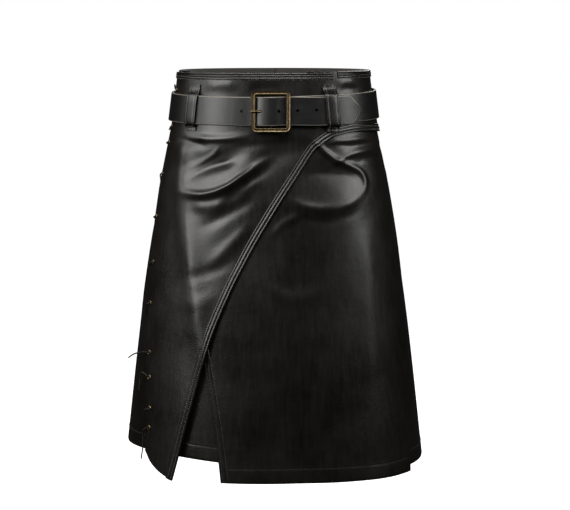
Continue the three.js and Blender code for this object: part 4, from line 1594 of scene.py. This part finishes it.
@dataclass
class Skirt:
    """The panels that hang from the waist, with their hems and turned edges.

    Attributes:
        looks: the finishes.
        detail: share of the mesh's full columns and rows.
        made: the panels' objects by name.
    """

    looks: Finishes
    detail: float = 1.0
    made: dict[str, bpy.types.Object] = field(default_factory=dict)

    def count(self, n: int) -> int:
        """Columns or rows at this detail."""
        return max(8, int(n * self.detail))

    def over_apron(self) -> Panel:
        """The front apron: columns fan from the waist, and each ends on its lower outline."""
        laced, side = EDGES.read("laced", CORNER[1]), EDGES.read("side", CORNER[1])
        corner = float((CORNER[0] - laced) / (side - laced))
        u = np.r_[
            np.linspace(0, corner, self.count(30))[:-1],
            np.linspace(corner, OPEN_END, self.count(165))[:-1],
            np.linspace(OPEN_END, 1, self.count(46)),
        ]
        low, high = np.full(len(u), HEM_FRONT - 20), np.full(len(u), WAIST_SEAM - 8)
        for _ in range(40):  # halvings, to find where each column meets the outline
            z = (low + high) / 2
            deg = self.fan(u, z)
            outline = np.where(deg >= CORNER[0], DIAGONAL.read("z", deg), APRON_HEM.read("z", deg))
            low, high = np.where(outline > z, z, low), np.where(outline > z, high, z)
        foot = high
        foot[np.argmin(np.abs(u - corner))] = CORNER[1]
        z = levels(WAIST_SEAM, foot, self.count(150))
        self.edge = np.stack([self.fan(u, foot), foot], axis=1)[u >= corner - 1e-9]
        return Panel("over_apron", OVER_LAYER, self.fan(u[:, None], z), z)

    @staticmethod
    def fan(u: Array, z: Array) -> Array:
        """Degrees at a share of the way from the laced edge to the side seam."""
        laced = EDGES.read("laced", z)
        return laced + (EDGES.read("side", z) - laced) * u

    def under_apron(self) -> Panel:
        """The apron below, from its free edge to the side seam."""
        foot = np.full(self.count(210), HEM_FRONT)
        z = levels(WAIST_SEAM, foot, self.count(150), HEM_ROWS)
        share = np.linspace(0, 1, len(foot))[:, None]
        deg = EDGES.read("under", z) * (1 - share) + EDGES.read("side", z) * share
        return Panel("under_apron", UNDER_LAYER, deg, z, hem_fold(z, foot[:, None]))

    def back_panel(self, name: str, start: Edge, end: Edge, n: int) -> Panel:
        """A panel of the back.

        Args:
            name: the panel's name.
            start: its first edge.
            end: its last edge.
            n: columns between the seams.

        Returns:
            The panel.
        """
        share, roll = seamed(self.count(n))
        at_hem = np.full(len(share), -510.0)
        foot = BACK_HEM.read("z", start(at_hem) + (end(at_hem) - start(at_hem)) * share)
        z = levels(WAIST_SEAM, foot, self.count(105), HEM_ROWS)
        deg = start(z) + (end(z) - start(z)) * share[:, None]
        return Panel(name, BACK_LAYER, deg, z, hem_fold(z, foot[:, None]) + roll[:, None])

    @staticmethod
    def sew_seam(deg: float, shift: float) -> Solid:
        """A row of stitches down a seam of the back.

        Args:
            deg: the seam.
            shift: how far the row is to its side.

        Returns:
            The stitches.
        """
        z = np.linspace(WAIST_SEAM - 3, float(BACK_HEM.read("z", deg)) + 2, 240)
        at = deg + degrees_for(shift, deg, z)
        return Stitching().sew(BACK_LAYER.point(at, z, 0.0), BACK_LAYER.normal(at, z))

    def sew_hem(self, panel: Panel, cut: slice = slice(None)) -> Solid:
        """The row of stitches over a panel's hem.

        Args:
            panel: the panel.
            cut: which of its columns have it.

        Returns:
            The stitches.
        """
        deg, z = panel.deg[cut, -1], panel.z[cut, -1] + HEM_STITCH
        line = panel.layer.point(deg, z, 0.0)
        return Stitching().sew(line, panel.layer.normal(deg, z))

    def build(self) -> None:
        """Make the five panels."""
        def left(z: Array) -> Array:
            """The back's edge at the wearer's left, 7 mm under the front panels."""
            return EDGES.read("side", z) - 360 - degrees_for(7, 80, z)

        def seam(z: Array) -> Array:
            """The seam at the wearer's right."""
            return np.full_like(z, RIGHT_SEAM)

        def centre(z: Array) -> Array:
            """The middle of the back."""
            return np.full_like(z, CENTRE_SEAM)

        def wrap(z: Array) -> Array:
            """The edge that the over apron hides."""
            return EDGES.read("wrap", z)

        self.panels = [
            self.over_apron(),
            self.under_apron(),
            self.back_panel("side_right_panel", seam, wrap, 105),
            self.back_panel("back_right_panel", centre, seam, 115),
            self.back_panel("back_left_panel", left, centre, 135),
        ]
        faces = [self.looks.hide, self.looks.suede]
        for panel in self.panels:
            self.made[panel.name] = piece(
                panel.name, panel.solid(), faces, Slot.LEATHER, [panel.name]
            )

    def dress(self) -> None:
        """Add the turned edges and the sewing, and log the size of each panel's cut piece."""
        edging = Edging(BAND_WIDTH, (3.3, 8.1), (3.3, 8.1), (0.85, 0.85, 0.3))
        flat = Edging(BAND_WIDTH, (3.6, 11.2), (3.6, 11.2), (0.6, 0.75, 0.1))
        # bright is the thread whose grey bands paint its sheen; dull is the dark thread.
        bright, dull = [self.looks.thread], [self.looks.plain_thread]
        rest: dict[str, list[bpy.types.Object]] = {p.name: [] for p in self.panels}
        z = np.linspace(-65, HEM_FRONT, 320)
        free = np.stack([EDGES.read("under", z), z], axis=1)
        for name, turned, layer, route, thread in (
            ("over_apron", edging, OVER_LAYER, resampled(self.edge, 420), bright),
            ("under_apron", flat, UNDER_LAYER, free, dull),
        ):
            node = name + "_edge"
            band, sewn = turned.band(layer, route, 1), turned.stitches(layer, route, 1)
            rest[name] += [
                piece(node, band, [self.looks.edge], Slot.LEATHER, [node]),
                piece(name + "_stitches", sewn, thread, Slot.LEATHER),
            ]
        for panel in self.panels[1:]:
            first = COVERED if panel.name == "under_apron" else 0
            sewn = self.sew_hem(panel, slice(first, None))
            row = piece(panel.name + "_hem_stitches", sewn, dull, Slot.LEATHER)
            rest[panel.name].append(row)
        for name, seam, deg, shift in (
            ("side_right_panel", "side", RIGHT_SEAM, 3.0),
            ("back_right_panel", "side", RIGHT_SEAM, -3.0),
            ("back_right_panel", "centre", CENTRE_SEAM, 3.0),
            ("back_left_panel", "centre", CENTRE_SEAM, -3.0),
        ):
            sewn = self.sew_seam(deg, shift)
            rest[name].append(piece(f"{name}_seam_stitches_{seam}", sewn, dull, Slot.LEATHER))
        for panel in self.panels:
            width, length, area = panel.cut()
            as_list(rest[panel.name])
            LOG.info("%s cut %.3f x %.3f m, area %.4f m2", panel.name, width, length, area)


def resampled(route: Array, count: int) -> Array:
    """Even out the points of a route.

    Args:
        route: rows of degrees and heights.
        count: how many rows to make.

    Returns:
        The new rows.
    """
    flat = route * (MM_PER_DEG, 1)
    return along(flat, route, np.linspace(0, lengths(flat)[-1], count))


# Height of the waistband's foot over the seam: plain, and where it laps over the back panel.
BAND_FOOT, BAND_FOOT_LAPPED = 0.35, -2.6
COVERED_BINDING = 8.2  # degrees of the right length's binding that the front length covers


@dataclass
class Waistband:
    """The band round the waist in three lengths, each with a stitched binding along its top."""

    looks: Finishes

    def build(self) -> None:
        """Make the band's lengths and their bindings."""
        start = float(EDGES.read("laced", 0.0))
        parts = (
            ("front", BAND_FRONT_LAYER, start, 44.0, start, WAIST_TOP - 2),
            ("left", UNDER_LAYER, 26.0, 180.0, 47.98, WAIST_TOP),
            ("right", BACK_LAYER, 180.0, 294.0, 180.0, WAIST_TOP),
        )
        edging = Edging(TOP_BAND_WIDTH, (2.4, 6.0, 9.5), (6.0, 9.5), (0.8, 1.0, 0.8, 0.0))
        for side, layer, begin, end, bare, top in parts:
            share = np.linspace(0, 1, 120)[:, None]
            deg = begin + (end - begin) * share
            over_back = (side == "left") & (deg[:, 0] > EDGES.read("side", WAIST_SEAM) + 1)
            foot = WAIST_SEAM + np.where(over_back, BAND_FOOT_LAPPED, BAND_FOOT)
            z = levels(top, foot, 26)
            panel = Panel("waistband_" + side, layer, deg + 0 * z, z)
            faces = [self.looks.hide, self.looks.suede]
            band = piece(panel.name, panel.solid(), faces, Slot.LEATHER, [panel.name])
            last = end - COVERED_BINDING if side == "right" else end
            route = np.stack([np.linspace(bare, last, 260), np.full(260, top)], axis=1)
            binding = piece(
                "waist_edge_" + side,
                edging.band(layer, route, -1),
                [self.looks.edge],
                Slot.LEATHER,
                ["waist_edge_" + side],
            )
            sewn = piece(
                "waist_stitches_" + side,
                edging.stitches(layer, route, -1),
                [self.looks.thread],
                Slot.LEATHER,
            )
            width, length, area = panel.cut()
            LOG.info("%s cut %.3f x %.3f m, area %.4f m2", panel.name, width, length, area)


@dataclass(frozen=True)
class Seat:
    """A point on the leather and its outward normal."""

    point: Array
    normal: Array

    def moved(self, out: float) -> Array:
        """The point moved out along the normal."""
        return self.point + self.normal * out


@dataclass(frozen=True)
class LaceRow:
    """Where a row of the lacing goes through and over the leather.

    Attributes:
        z: its height.
        eye: the eyelet, on the apron.
        deep: the same place on the side panel.
        hole: where it goes into the side panel.
        lip: where it crosses the apron's edge.
    """

    z: float
    eye: Seat
    deep: Seat
    hole: Seat
    lip: Seat

    @property
    def away(self) -> Array:
        """Level direction from the apron's edge to the hole, along the apron."""
        run = (self.hole.point - self.lip.point) * (1, 1, 0)
        return unit(run - (run @ self.lip.normal) * self.lip.normal)

    def crossing(self) -> list[Array]:
        """Inside the eyelet, out of it, over the apron's edge and in at the hole."""
        r, out = LACE_RADIUS, EYELET_RISE + LACE_RADIUS
        half = (self.eye.moved(out + 1.2) + self.lip.moved(r + 1)) / 2
        half[2] = self.lip.point[2]
        return [
            self.eye.moved(-(LEATHER + (OVER - LEATHER) / 2)),
            self.eye.moved(out + 0.6),
            half,
            self.lip.moved(r + 0.7) + self.away * 2,
            self.hole.moved(r + 1.2) - self.away,
            self.hole.moved(-LEATHER - r - 0.8),
        ]


@dataclass
class Lacing:
    """Brass eyelets and two laces down the wearer's right side, with their free ends."""

    looks: Finishes
    skirt: Skirt

    def rows(self) -> list[LaceRow]:
        """Seats of every row, from the top."""
        found = []
        for z, drop, arch in sorted(zip(*(LACING.columns[n] for n in LACING.names)), reverse=True):
            waist = z > WAIST_SEAM
            over = BAND_FRONT_LAYER if waist else OVER_LAYER
            edge = float(EDGES.read("laced", z))

            def seat(layer: Layer, mm: float, height: float) -> Seat:
                """A seat on a layer, so far from the edge."""
                deg = np.array(edge + degrees_for(mm, edge, z))
                return Seat(layer.point(deg, height), layer.normal(deg, height))

            found.append(
                LaceRow(
                    z,
                    seat(over, EYELET_INSET, z),
                    seat(BACK_LAYER, EYELET_INSET, z),
                    seat(BACK_LAYER, -LACE_REACH, z - drop),
                    seat(over, 0.6, z - min(drop, 5) / 2 + arch),
                )
            )
        return found

    def eyelet(self, seat: Seat) -> Solid:
        """A ring with a rolled rim, turned about its seat's normal.

        Args:
            seat: where it is pressed in.

        Returns:
            The ring.
        """
        mid, bore, outer = (EYELET_BORE + EYELET_OUTER) / 2 + 0.2, EYELET_BORE, EYELET_OUTER
        rim = [(bore, 0.0), (bore + 0.15, 0.65), (mid - 0.3, EYELET_RISE)]
        rim += [(mid + 0.5, 0.7), (outer, 0.12), (outer, 0.0)]
        section = np.vstack([spline(np.array(rim), 4), [(mid, 0.0)]])
        turn = np.arange(EYELET_TURNS) * 2 * np.pi / EYELET_TURNS
        east = unit(np.cross((0, 0, 1), seat.normal))
        up = np.cross(seat.normal, east)
        spoke = np.cos(turn)[:, None] * east + np.sin(turn)[:, None] * up
        base = seat.moved(EYELET_SEAT)
        rings = base + section[None, :, :1] * spoke[:, None] + section[None, :, 1:] * seat.normal
        wear = np.tile((section[:, 1] > 0.6).astype(float) * 0.5, len(turn))
        return sweep(rings, {Marks.WEAR.value: wear}, ring=True)

    def free_end(self, row: LaceRow, name: str) -> Array:
        """Middle line of a lace's free end.

        Args:
            row: the row that it comes from.
            name: which of FREE_ENDS it is.

        Returns:
            Points from beside its own eyelet on.
        """
        start = row.eye.moved(EYELET_RISE + LACE_RADIUS + 0.8)
        route = []
        for past, down, out in FREE_ENDS[name]:
            point = row.lip.moved(out) + row.away * past
            point[2] = row.eye.point[2] - down
            route.append(point)
        start = start + unit(route[0] - start) * (LACE_RADIUS + 0.5)
        return spline(np.array([start, *route]), 12)

    def build(self) -> None:
        """Make the eyelets, both laces and the three free ends."""
        rows = self.rows()
        upper, lower = rows[:UPPER_ROWS], rows[UPPER_ROWS:]
        for i, row in enumerate(rows):
            name = f"eyelet_{i + 1:02d}"
            piece(name, self.eyelet(row.eye), [self.looks.eyelet], Slot.BRASS, [name])
        path: list[Array] = []
        for i, row in enumerate(upper[:-1]):
            path += row.crossing()[::-1] if i % 2 == 0 else row.crossing()
        path += upper[-1].crossing()[:2]
        self.lace("lace_upper", np.array(path))
        first, middle, last = lower
        self.lace(
            "lace_lower",
            np.array(
                [
                    *first.crossing()[:2][::-1],
                    *middle.crossing(),
                    last.deep.moved(-LEATHER - LACE_RADIUS - 0.8),
                    last.eye.moved(EYELET_RISE + LACE_RADIUS + 0.6),
                ]
            ),
        )
        for name, row in (("upper", upper[-1]), ("middle", lower[0]), ("bottom", lower[-1])):
            line = self.free_end(row, name)
            node = "lace_end_" + name
            thong = tube(line, LACE_RADIUS, LACE_SIDES)
            end = piece(node, thong, [self.looks.thong], Slot.LACE, [node])
            length = float(lengths(line)[-1]) * MM
            LOG.info("%s is %.4f m long", node, length)
        drills = [self.drill(r.eye) for r in rows if r.z <= WAIST_SEAM]
        bored(self.skirt.made["over_apron"], drills)

    @staticmethod
    def drill(seat: Seat) -> Solid:
        """A round cutter through the leather at a seat."""
        return tube(np.array([seat.moved(3), seat.moved(-LEATHER - 0.6)]), EYELET_BORE, 16)

    def lace(self, name: str, corners: Array) -> None:
        """A lace through its corners, rounded where it turns."""
        thong = tube(rounded(corners, 3.0), LACE_RADIUS, LACE_SIDES)
        piece(name, thong, [self.looks.thong], Slot.LACE, [name])


def buckle_matrix() -> Matrix:
    """Frame of the buckle: x across, y out of the back and z up, at the middle of its rod."""
    seat = place(degrees_for(BUCKLE_X, 0, 0), 0, BELT_LIFT, False)
    low, high = place(0, -20, BELT_LIFT, False), place(0, 20, BELT_LIFT, False)
    lean = -math.atan2(high[1] - low[1], high[2] - low[2])
    return Matrix.Translation((BUCKLE_X, float(seat[1]), BUCKLE_Z)) @ Matrix.Rotation(lean, 4, "X")


@dataclass
class Belt:
    """The strap: once round the waist, folded round the buckle's rod and lapped through its frame.

    Attributes:
        looks: the finishes.
        corner: how far its edges are rounded: millimetres across, and a share of its thickness.
    """

    looks: Finishes
    corner: Place = (1.3, 0.22)

    def section(self) -> tuple[Array, Array]:
        """Its section with rounded edges.

        Returns:
            Rows of across, from -1 to 1, and out, from 0 to 1, and the paleness of each, from 0 to
            1: burnish and painted highlight on the rounded edges.
        """
        a = np.radians(np.linspace(0, 90, 5))
        reach = self.corner[0] / (BELT_WIDTH / 2)
        turn = np.stack([1 - reach * (1 - np.sin(a)), 1 - self.corner[1] * (1 - np.cos(a))], axis=1)
        flat = np.stack([np.linspace(-0.93, 0.93, 13), np.ones(13)], axis=1)
        upper = np.vstack([turn[::-1] * (-1, 1), flat, turn])
        lower = np.vstack([turn[::-1], flat[::-1], turn * (-1, 1)]) * (1, -1) + (0, 1)
        wear = np.r_[[0.5] * 3, [0.5, 0], np.zeros(13), [0, 0.5], [0.5] * 3]
        return np.vstack([upper, lower]), np.r_[wear, np.zeros(len(lower))]

    @staticmethod
    def middle(deg: Array) -> Array:
        """Height of the strap's middle, which sits a little lower at the front."""
        return 2.9 - 4.6 * np.cos(np.radians(deg)) + 1.75 * np.sin(np.radians(deg))

    def point(self, deg: Array, across: Array, out: Array, drop: Array | float = 0.0) -> Array:
        """Points of the strap, which lies as a cone between two levels of the form.

        Args:
            deg: degrees round the waist.
            across: from -1 at its lower edge to 1 at its upper edge.
            out: how far it stands off the form.
            drop: how far it hangs under its own middle.

        Returns:
            Points in millimetres.
        """
        z = self.middle(deg) + across * BELT_WIDTH / 2 - drop
        half = BELT_WIDTH / 2 + 2
        low, high = place(deg, -half, out, False), place(deg, half, out, False)
        share = ((z + half) / (2 * half))[..., None]
        mixed = low + (high - low) * share
        mixed[..., 2] = z
        return mixed

    def rise(self, deg: Array) -> Array:
        """How far the strap stands off as it laps over itself."""
        x = place(deg - 360, 0, BELT_LIFT, False)[..., 0]
        return np.where(deg > 330, BELT_RISE.read("rise", x), 0)

    def fold(self) -> Array:
        """Sections of the skived end round the rod: a line in the buckle's frame, thickened."""
        bend = ROD_RADIUS + 0.35 + 0.75
        a = np.radians(90 + 30 * np.arange(7))
        turn = np.stack([bend * np.cos(a), ROD_OUT + bend * np.sin(a), np.full(7, 0.75)], axis=1)
        line = np.vstack([(FOLD_END, 5, 0.75), (5.5, 6.6, 0.75), turn, (5, 1.8, 1)])
        line = spline(line, 5)
        run = unit(np.gradient(line[:, :2], axis=0))
        shape, _ = self.section()
        side = line[:, 2:] * (1 - 2 * shape[None, :, 1])
        x, out = line[:, :1] + run[:, 1:] * side, line[:, 1:2] - run[:, :1] * side
        z = np.broadcast_to(shape[None, :, 0] * BELT_WIDTH / 2, x.shape)
        m = np.array(buckle_matrix())
        return np.stack([x, -out, z], axis=-1) @ m[:3, :3].T + m[:3, 3]

    def strap(self) -> Solid:
        """The strap from its fold to its point."""
        start = float(degrees_for(BUCKLE_X + FOLD_END, 0, 0))
        root = 360 + BELT_ROOT
        deg = np.r_[np.linspace(start, 325, 220)[:-1], np.linspace(325, root, 150)]
        t = np.r_[0.04, 0.1, np.linspace(0.18, 0.985, 14)]
        tip = root + degrees_for(BELT_TIP_LENGTH, root - 360, 0) * t
        width = np.r_[np.ones(len(deg)), 1 - t]
        out = BELT_LIFT + self.rise(deg)
        out = np.r_[out, np.full(len(t), out[-1])]
        deg = np.r_[deg, tip]
        drop = LAP_DROP * smooth((np.minimum(deg, root) - LAP_FROM) / LAP_RAMP)
        shape, wear = self.section()
        near = np.abs(shape[None, :, 0])
        half = width[:, None]
        across = np.maximum(half - TIP_BEVEL * (1 - near), 0.9 * half * near)
        across = np.sign(shape[None, :, 0]) * across
        across[width == 1] = shape[:, 0]
        off = out[:, None] + shape[None, :, 1] * BELT_THICK
        body = self.point(deg[:, None], across, off, drop[:, None])
        sections = np.vstack([self.fold(), body])
        # The point's edges are twice as pale: a painted highlight of its bevel, so its outline
        # shows bright on the shaded lower side too.
        share = np.ones(len(sections))
        share[-len(t) :] = 2
        return sweep(sections, {Marks.WEAR.value: (share[:, None] * wear).ravel()})

    def build(self) -> None:
        """Make the strap and punch its holes."""
        self.made = piece("belt", self.strap(), [self.looks.strap], Slot.BELT, ["belt"], sharp=60)
        cutters = []
        for i in range(HOLES):
            x = BUCKLE_X + HOLE_FROM_ROD + (i - 1) * HOLE_PITCH
            deg = degrees_for(x, degrees_for(x, 0, 0) / 2, 0)
            ends = [self.point(deg, np.array(0.0), np.array(r)) for r in (9.0, 22.0)]
            cutters.append(tube(np.array(ends), BELT_HOLE, 20))
        bored(self.made, cutters)
        bored(self.made, [Buckle(self.looks).tongue(TONGUE_BORE)])


@dataclass
class Buckle:
    """A cast frame with a rod across its middle and a tongue hooked round the rod."""

    looks: Finishes

    def frame(self) -> Solid:
        """The rounded rectangle: its bar's section carries two ridges with a groove between."""
        half_w, half_h, r = BUCKLE_WIDTH / 2, BUCKLE_HEIGHT / 2, BUCKLE_CORNER
        bar = spline(np.array(BUCKLE_SECTION), 3, closed=True)
        corners = []
        for k, (sx, sz) in enumerate(((1, 1), (-1, 1), (-1, -1), (1, -1))):
            a = np.radians(90 * k + np.linspace(0, 90, 10))
            d = r - BUCKLE_BAR * (1 - bar[None, :, 0])
            x = sx * (half_w - r) + d * np.cos(a)[:, None]
            z = sz * (half_h - r) + d * np.sin(a)[:, None]
            corners.append(np.stack([x, np.broadcast_to(bar[:, 1], x.shape), z], axis=-1))
        ring = np.concatenate(corners)
        lift = FRAME_OUT_LEFT + (FRAME_OUT_RIGHT - FRAME_OUT_LEFT) * (ring[..., 0] / half_w + 1) / 2
        ring[..., 1] = -(lift + ring[..., 1] * BUCKLE_THICK)
        wear = np.tile(np.clip(bar[:, 1] * 2.0 - 0.5, 0, 0.42), len(ring))
        return sweep(ring, {Marks.WEAR.value: wear}, ring=True)

    def rod(self) -> Solid:
        """The cranked rod that the strap folds round."""
        end, top = BUCKLE_HEIGHT / 2 - BUCKLE_BAR / 2, (FRAME_OUT_LEFT + FRAME_OUT_RIGHT) / 2
        low, high = -end + 1.5, end - 1.5
        line = [(0, -top, -end), (0, -ROD_OUT, low), (0, -ROD_OUT, high), (0, -top, end)]
        solid = tube(rounded(np.array(line, float), 1.5), ROD_RADIUS, 20)
        solid.marks[Marks.WEAR.value] = np.full(len(solid.points), 0.1)
        return solid

    def tongue(self, radius: float = TONGUE_RADIUS) -> Solid:
        """The tongue: a hook round the rod and an arm out through the strap to the left bar.

        Args:
            radius: of its bar, wider for the hole that is cut for it.

        Returns:
            The tongue in place.
        """
        a = np.radians(-130 + 45 * np.arange(7))
        r = ROD_RADIUS + 2
        hook = np.stack([r * np.cos(a), -ROD_OUT - r * np.sin(a), 0 * a], axis=1)
        arm = np.array([(x, -out, 0) for x, out in TONGUE], float)
        line, radii = capped(spline(np.vstack([hook, arm]), 4), radius)
        solid = tube(line, radii, 18)
        solid.marks[Marks.WEAR.value] = np.full(len(solid.points), 0.9)
        return solid.moved(buckle_matrix())

    def build(self) -> None:
        """Make the frame with its rod, and the tongue."""
        body = joined([self.frame(), self.rod()]).moved(buckle_matrix())
        piece("buckle_frame", body, [self.looks.brass], Slot.BRASS, ["buckle_frame"], sharp=50)
        piece("buckle_tongue", self.tongue(), [self.looks.brass], Slot.BRASS, ["buckle_tongue"])


@dataclass
class BeltLoops:
    """Doubled strips that hold the belt, each with two sewn grooves down it."""

    looks: Finishes
    grooves: tuple[float, ...] = (-0.64, 0.64)

    def path(self, loop: LoopPlace) -> Array:
        """Run the strip's underside over the belt.

        Args:
            loop: where it is sewn.

        Returns:
            Rows of heights and distances out, rounded over the belt's edges.
        """
        over = BELT_LIFT + BELT_THICK + loop.lap * BELT_LAP + 1
        high = float(Belt.middle(np.array(loop.deg)))
        low = high - loop.lap * LAP_DROP
        corners = [
            (0, high + LOOP_TOP, loop.top),
            (0, high + LOOP_TOP - LOOP_PATCH, loop.top),
            (0, high + 24, (loop.top + over) / 2),
            (0, high + 21, over - 0.1),
            (0, high + 12, over + 0.5),
            (0, low - 12, over + 0.5),
            (0, low - 21, over - 0.1),
            (0, low - 23, (loop.foot + over) / 2),
            (0, low + LOOP_FOOT, loop.foot),
            (0, low + LOOP_FOOT - LOOP_PATCH + 1, loop.foot),
        ]
        line = rounded(np.array(corners, float), 4.0, 5)
        return along(line, line, np.linspace(0, lengths(line)[-1], 110))[:, 1:]

    def relief(self, across: Array) -> Array:
        """Thickness of the strip.

        A parabola over its width with round edges, less a bell at each row of stitches.

        Args:
            across: shares of its half width.

        Returns:
            Millimetres.
        """
        edge = np.clip((1 - np.abs(across)) / 0.12, 0, 1) ** 0.5
        dents = sum(np.exp(-(((across - g) / 0.085) ** 2)) for g in self.grooves)
        return LOOP_THICK * (0.42 + 0.26 * edge + 0.38 * (1 - across**2)) - 0.4 * dents

    def surface(self, loop: LoopPlace, path: Array, across: Array, lift: Array) -> Array:
        """Points of the strip.

        Args:
            loop: where it is sewn.
            path: its underside, as from path().
            across: shares of its half width.
            lift: how far out from the underside, for each share.

        Returns:
            Rows by shares of points.
        """
        z, out = path[:, :1], path[:, 1:]
        flat = place(loop.deg, z, 0, False)
        run = unit(place(loop.deg + 1, z, 0, False) - place(loop.deg - 1, z, 0, False))
        normal = np.stack([run[..., 1], -run[..., 0], 0 * run[..., 0]], axis=-1)
        sideways = run * (across * LOOP_WIDTH / 2)[None, :, None]
        return flat + sideways + normal * (out + lift[None])[..., None]

    def build(self) -> None:
        """Make every loop and its sewing."""
        across = np.sin(np.linspace(-np.pi / 2, np.pi / 2, 33))
        for loop in LOOPS:
            path = self.path(loop)
            top = self.surface(loop, path, across, self.relief(across))
            low = self.surface(loop, path, across[::-4], np.zeros(len(across[::-4])))
            strip = sweep(np.concatenate([top, low], axis=1))
            piece(loop.node, strip, [self.looks.edge], Slot.LEATHER, [loop.node])
            sewn = []
            for groove in self.grooves:
                at = np.array([groove])
                sewn.append(self.sew(self.surface(loop, path, at, self.relief(at) + 0.1)[:, 0]))
            for height in (1.6, 5.2):  # rows across both ends
                for end in (lengths(path) - height, lengths(path)[-1] - lengths(path) - height):
                    k = int(np.argmin(np.abs(end)))
                    row = np.linspace(-0.84, 0.84, 24)
                    line = self.surface(loop, path[k : k + 1], row, self.relief(row) + 0.1)[0]
                    sewn.append(self.sew(line))
            piece(loop.node + "_stitches", joined(sewn), [self.looks.thread], Slot.LEATHER)

    @staticmethod
    def sew(line: Array) -> Solid:
        """Stitches on a line that stands out from the waist's axis."""
        out = unit(line * (1, 1, 0))
        return Stitching(length=2.5, radius=0.34).sew(line, out)


LAMP_AIM: Point = (0.0, 0.0, -0.15)
# Soft boxes: name, place and size in metres, and power in watts.
LAMPS = (
    ("left soft box", (-1.75, -1.7, 0.88), (1.6, 1.3), 44),
    ("far left soft box", (-2.35, -0.35, 0.92), (1.3, 1.2), 15),
    ("right soft box", (2.15, -0.9, 0.8), (1.1, 1.3), 23),
    ("top soft box", (0.1, -1.8, 1.9), (1.8, 1.0), 48),
    ("upper right soft box", (1.75, -1.15, 1.75), (0.8, 0.7), 9),
    ("back soft box", (0.4, 2.4, 1.4), (1.6, 1.2), 30),
)


@dataclass
class Studio:
    """Camera, lights and floor.

    Attributes:
        eye: the camera's place in metres.
        tilt: its turn from straight down, in degrees.
        lens: its focal length in millimetres, on a sensor 36 mm wide.
        fill: strength of the even light from all sides.
        floor_height: in metres.
        floor_radius: in millimetres.
        floor_sides: corners of the floor.
    """

    eye: Point = (0.01649, -2.600, 0.12775)
    tilt: float = 82.264
    lens: float = 109.26
    fill: float = 0.014
    floor_height: float = -1.03
    floor_radius: float = 9000.0
    floor_sides: int = 64

    def camera(self) -> None:
        """A long lens at the height of the belt, tipped a little down."""
        data = bpy.data.cameras.new("camera")
        data.sensor_width, data.lens = 36.0, self.lens
        data.clip_end = 60
        camera = bpy.data.objects.new("camera", data)
        camera.location = self.eye
        camera.rotation_euler = Euler((math.radians(self.tilt), 0, 0))
        bpy.context.scene.collection.objects.link(camera)
        bpy.context.scene.camera = camera

    @staticmethod
    def lamp(name: str, at: Point, size: Place, watts: float) -> None:
        """A soft rectangular light that faces the garment.

        Args:
            name: the light's name.
            at: where it stands, in metres.
            size: its width and height.
            watts: its power.
        """
        data = bpy.data.lights.new(name, "AREA")
        data.shape, data.size, data.size_y, data.energy = "RECTANGLE", *size, watts
        data.color = (1.0, 0.994, 0.978)
        lamp = bpy.data.objects.new(name, data)
        lamp.location = at
        lamp.rotation_euler = (Vector(LAMP_AIM) - Vector(at)).to_track_quat("-Z", "Z").to_euler()
        bpy.context.scene.collection.objects.link(lamp)

    def world(self) -> None:
        """Plain white behind the object, and a dim even fill for everything else."""
        world = bpy.data.worlds.new("studio")
        bpy.context.scene.world = world
        world.use_nodes = True
        nodes, links = world.node_tree.nodes, world.node_tree.links
        nodes.clear()
        seen, fill = nodes.new("ShaderNodeBackground"), nodes.new("ShaderNodeBackground")
        for node, strength in ((seen, 1.0), (fill, self.fill)):
            node.inputs["Color"].default_value = (1, 1, 1, 1)
            node.inputs["Strength"].default_value = strength
        path, mix = nodes.new("ShaderNodeLightPath"), nodes.new("ShaderNodeMixShader")
        out = nodes.new("ShaderNodeOutputWorld")
        links.new(path.outputs["Is Camera Ray"], mix.inputs[0])
        links.new(fill.outputs[0], mix.inputs[1])
        links.new(seen.outputs[0], mix.inputs[2])
        links.new(mix.outputs[0], out.inputs["Surface"])

    def floor(self) -> None:
        """A wide round floor well below the hem."""
        ring = circle(self.floor_radius, self.floor_sides)
        points = np.column_stack([ring, np.full(len(ring), self.floor_height / MM)])
        mesh = bpy.data.meshes.new("floor")
        mesh.from_pydata((points * MM).tolist(), [], [list(range(len(ring)))])
        mesh.materials.append(Backdrop("pale studio floor, matt paint").make())
        floor = bpy.data.objects.new("floor", mesh)
        bpy.context.scene.collection.objects.link(floor)
        floor.visible_glossy = floor.visible_diffuse = False

    def build(self) -> None:
        """Set everything up."""
        self.camera()
        self.world()
        for lamp in LAMPS:
            self.lamp(*lamp)
        self.floor()
        bpy.context.scene.view_settings.view_transform = "Standard"


def main() -> None:
    """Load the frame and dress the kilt."""
    logging.basicConfig(level=logging.INFO, format="%(name)s: %(message)s")
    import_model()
    Studio().build()
    looks = Finishes()
    skirt = Skirt(looks, 1.0)
    skirt.build()
    Waistband(looks).build()
    skirt.dress()
    Lacing(looks, skirt).build()
    Belt(looks).build()
    Buckle(looks).build()
    BeltLoops(looks).build()


if __name__ == "__main__":
    main()
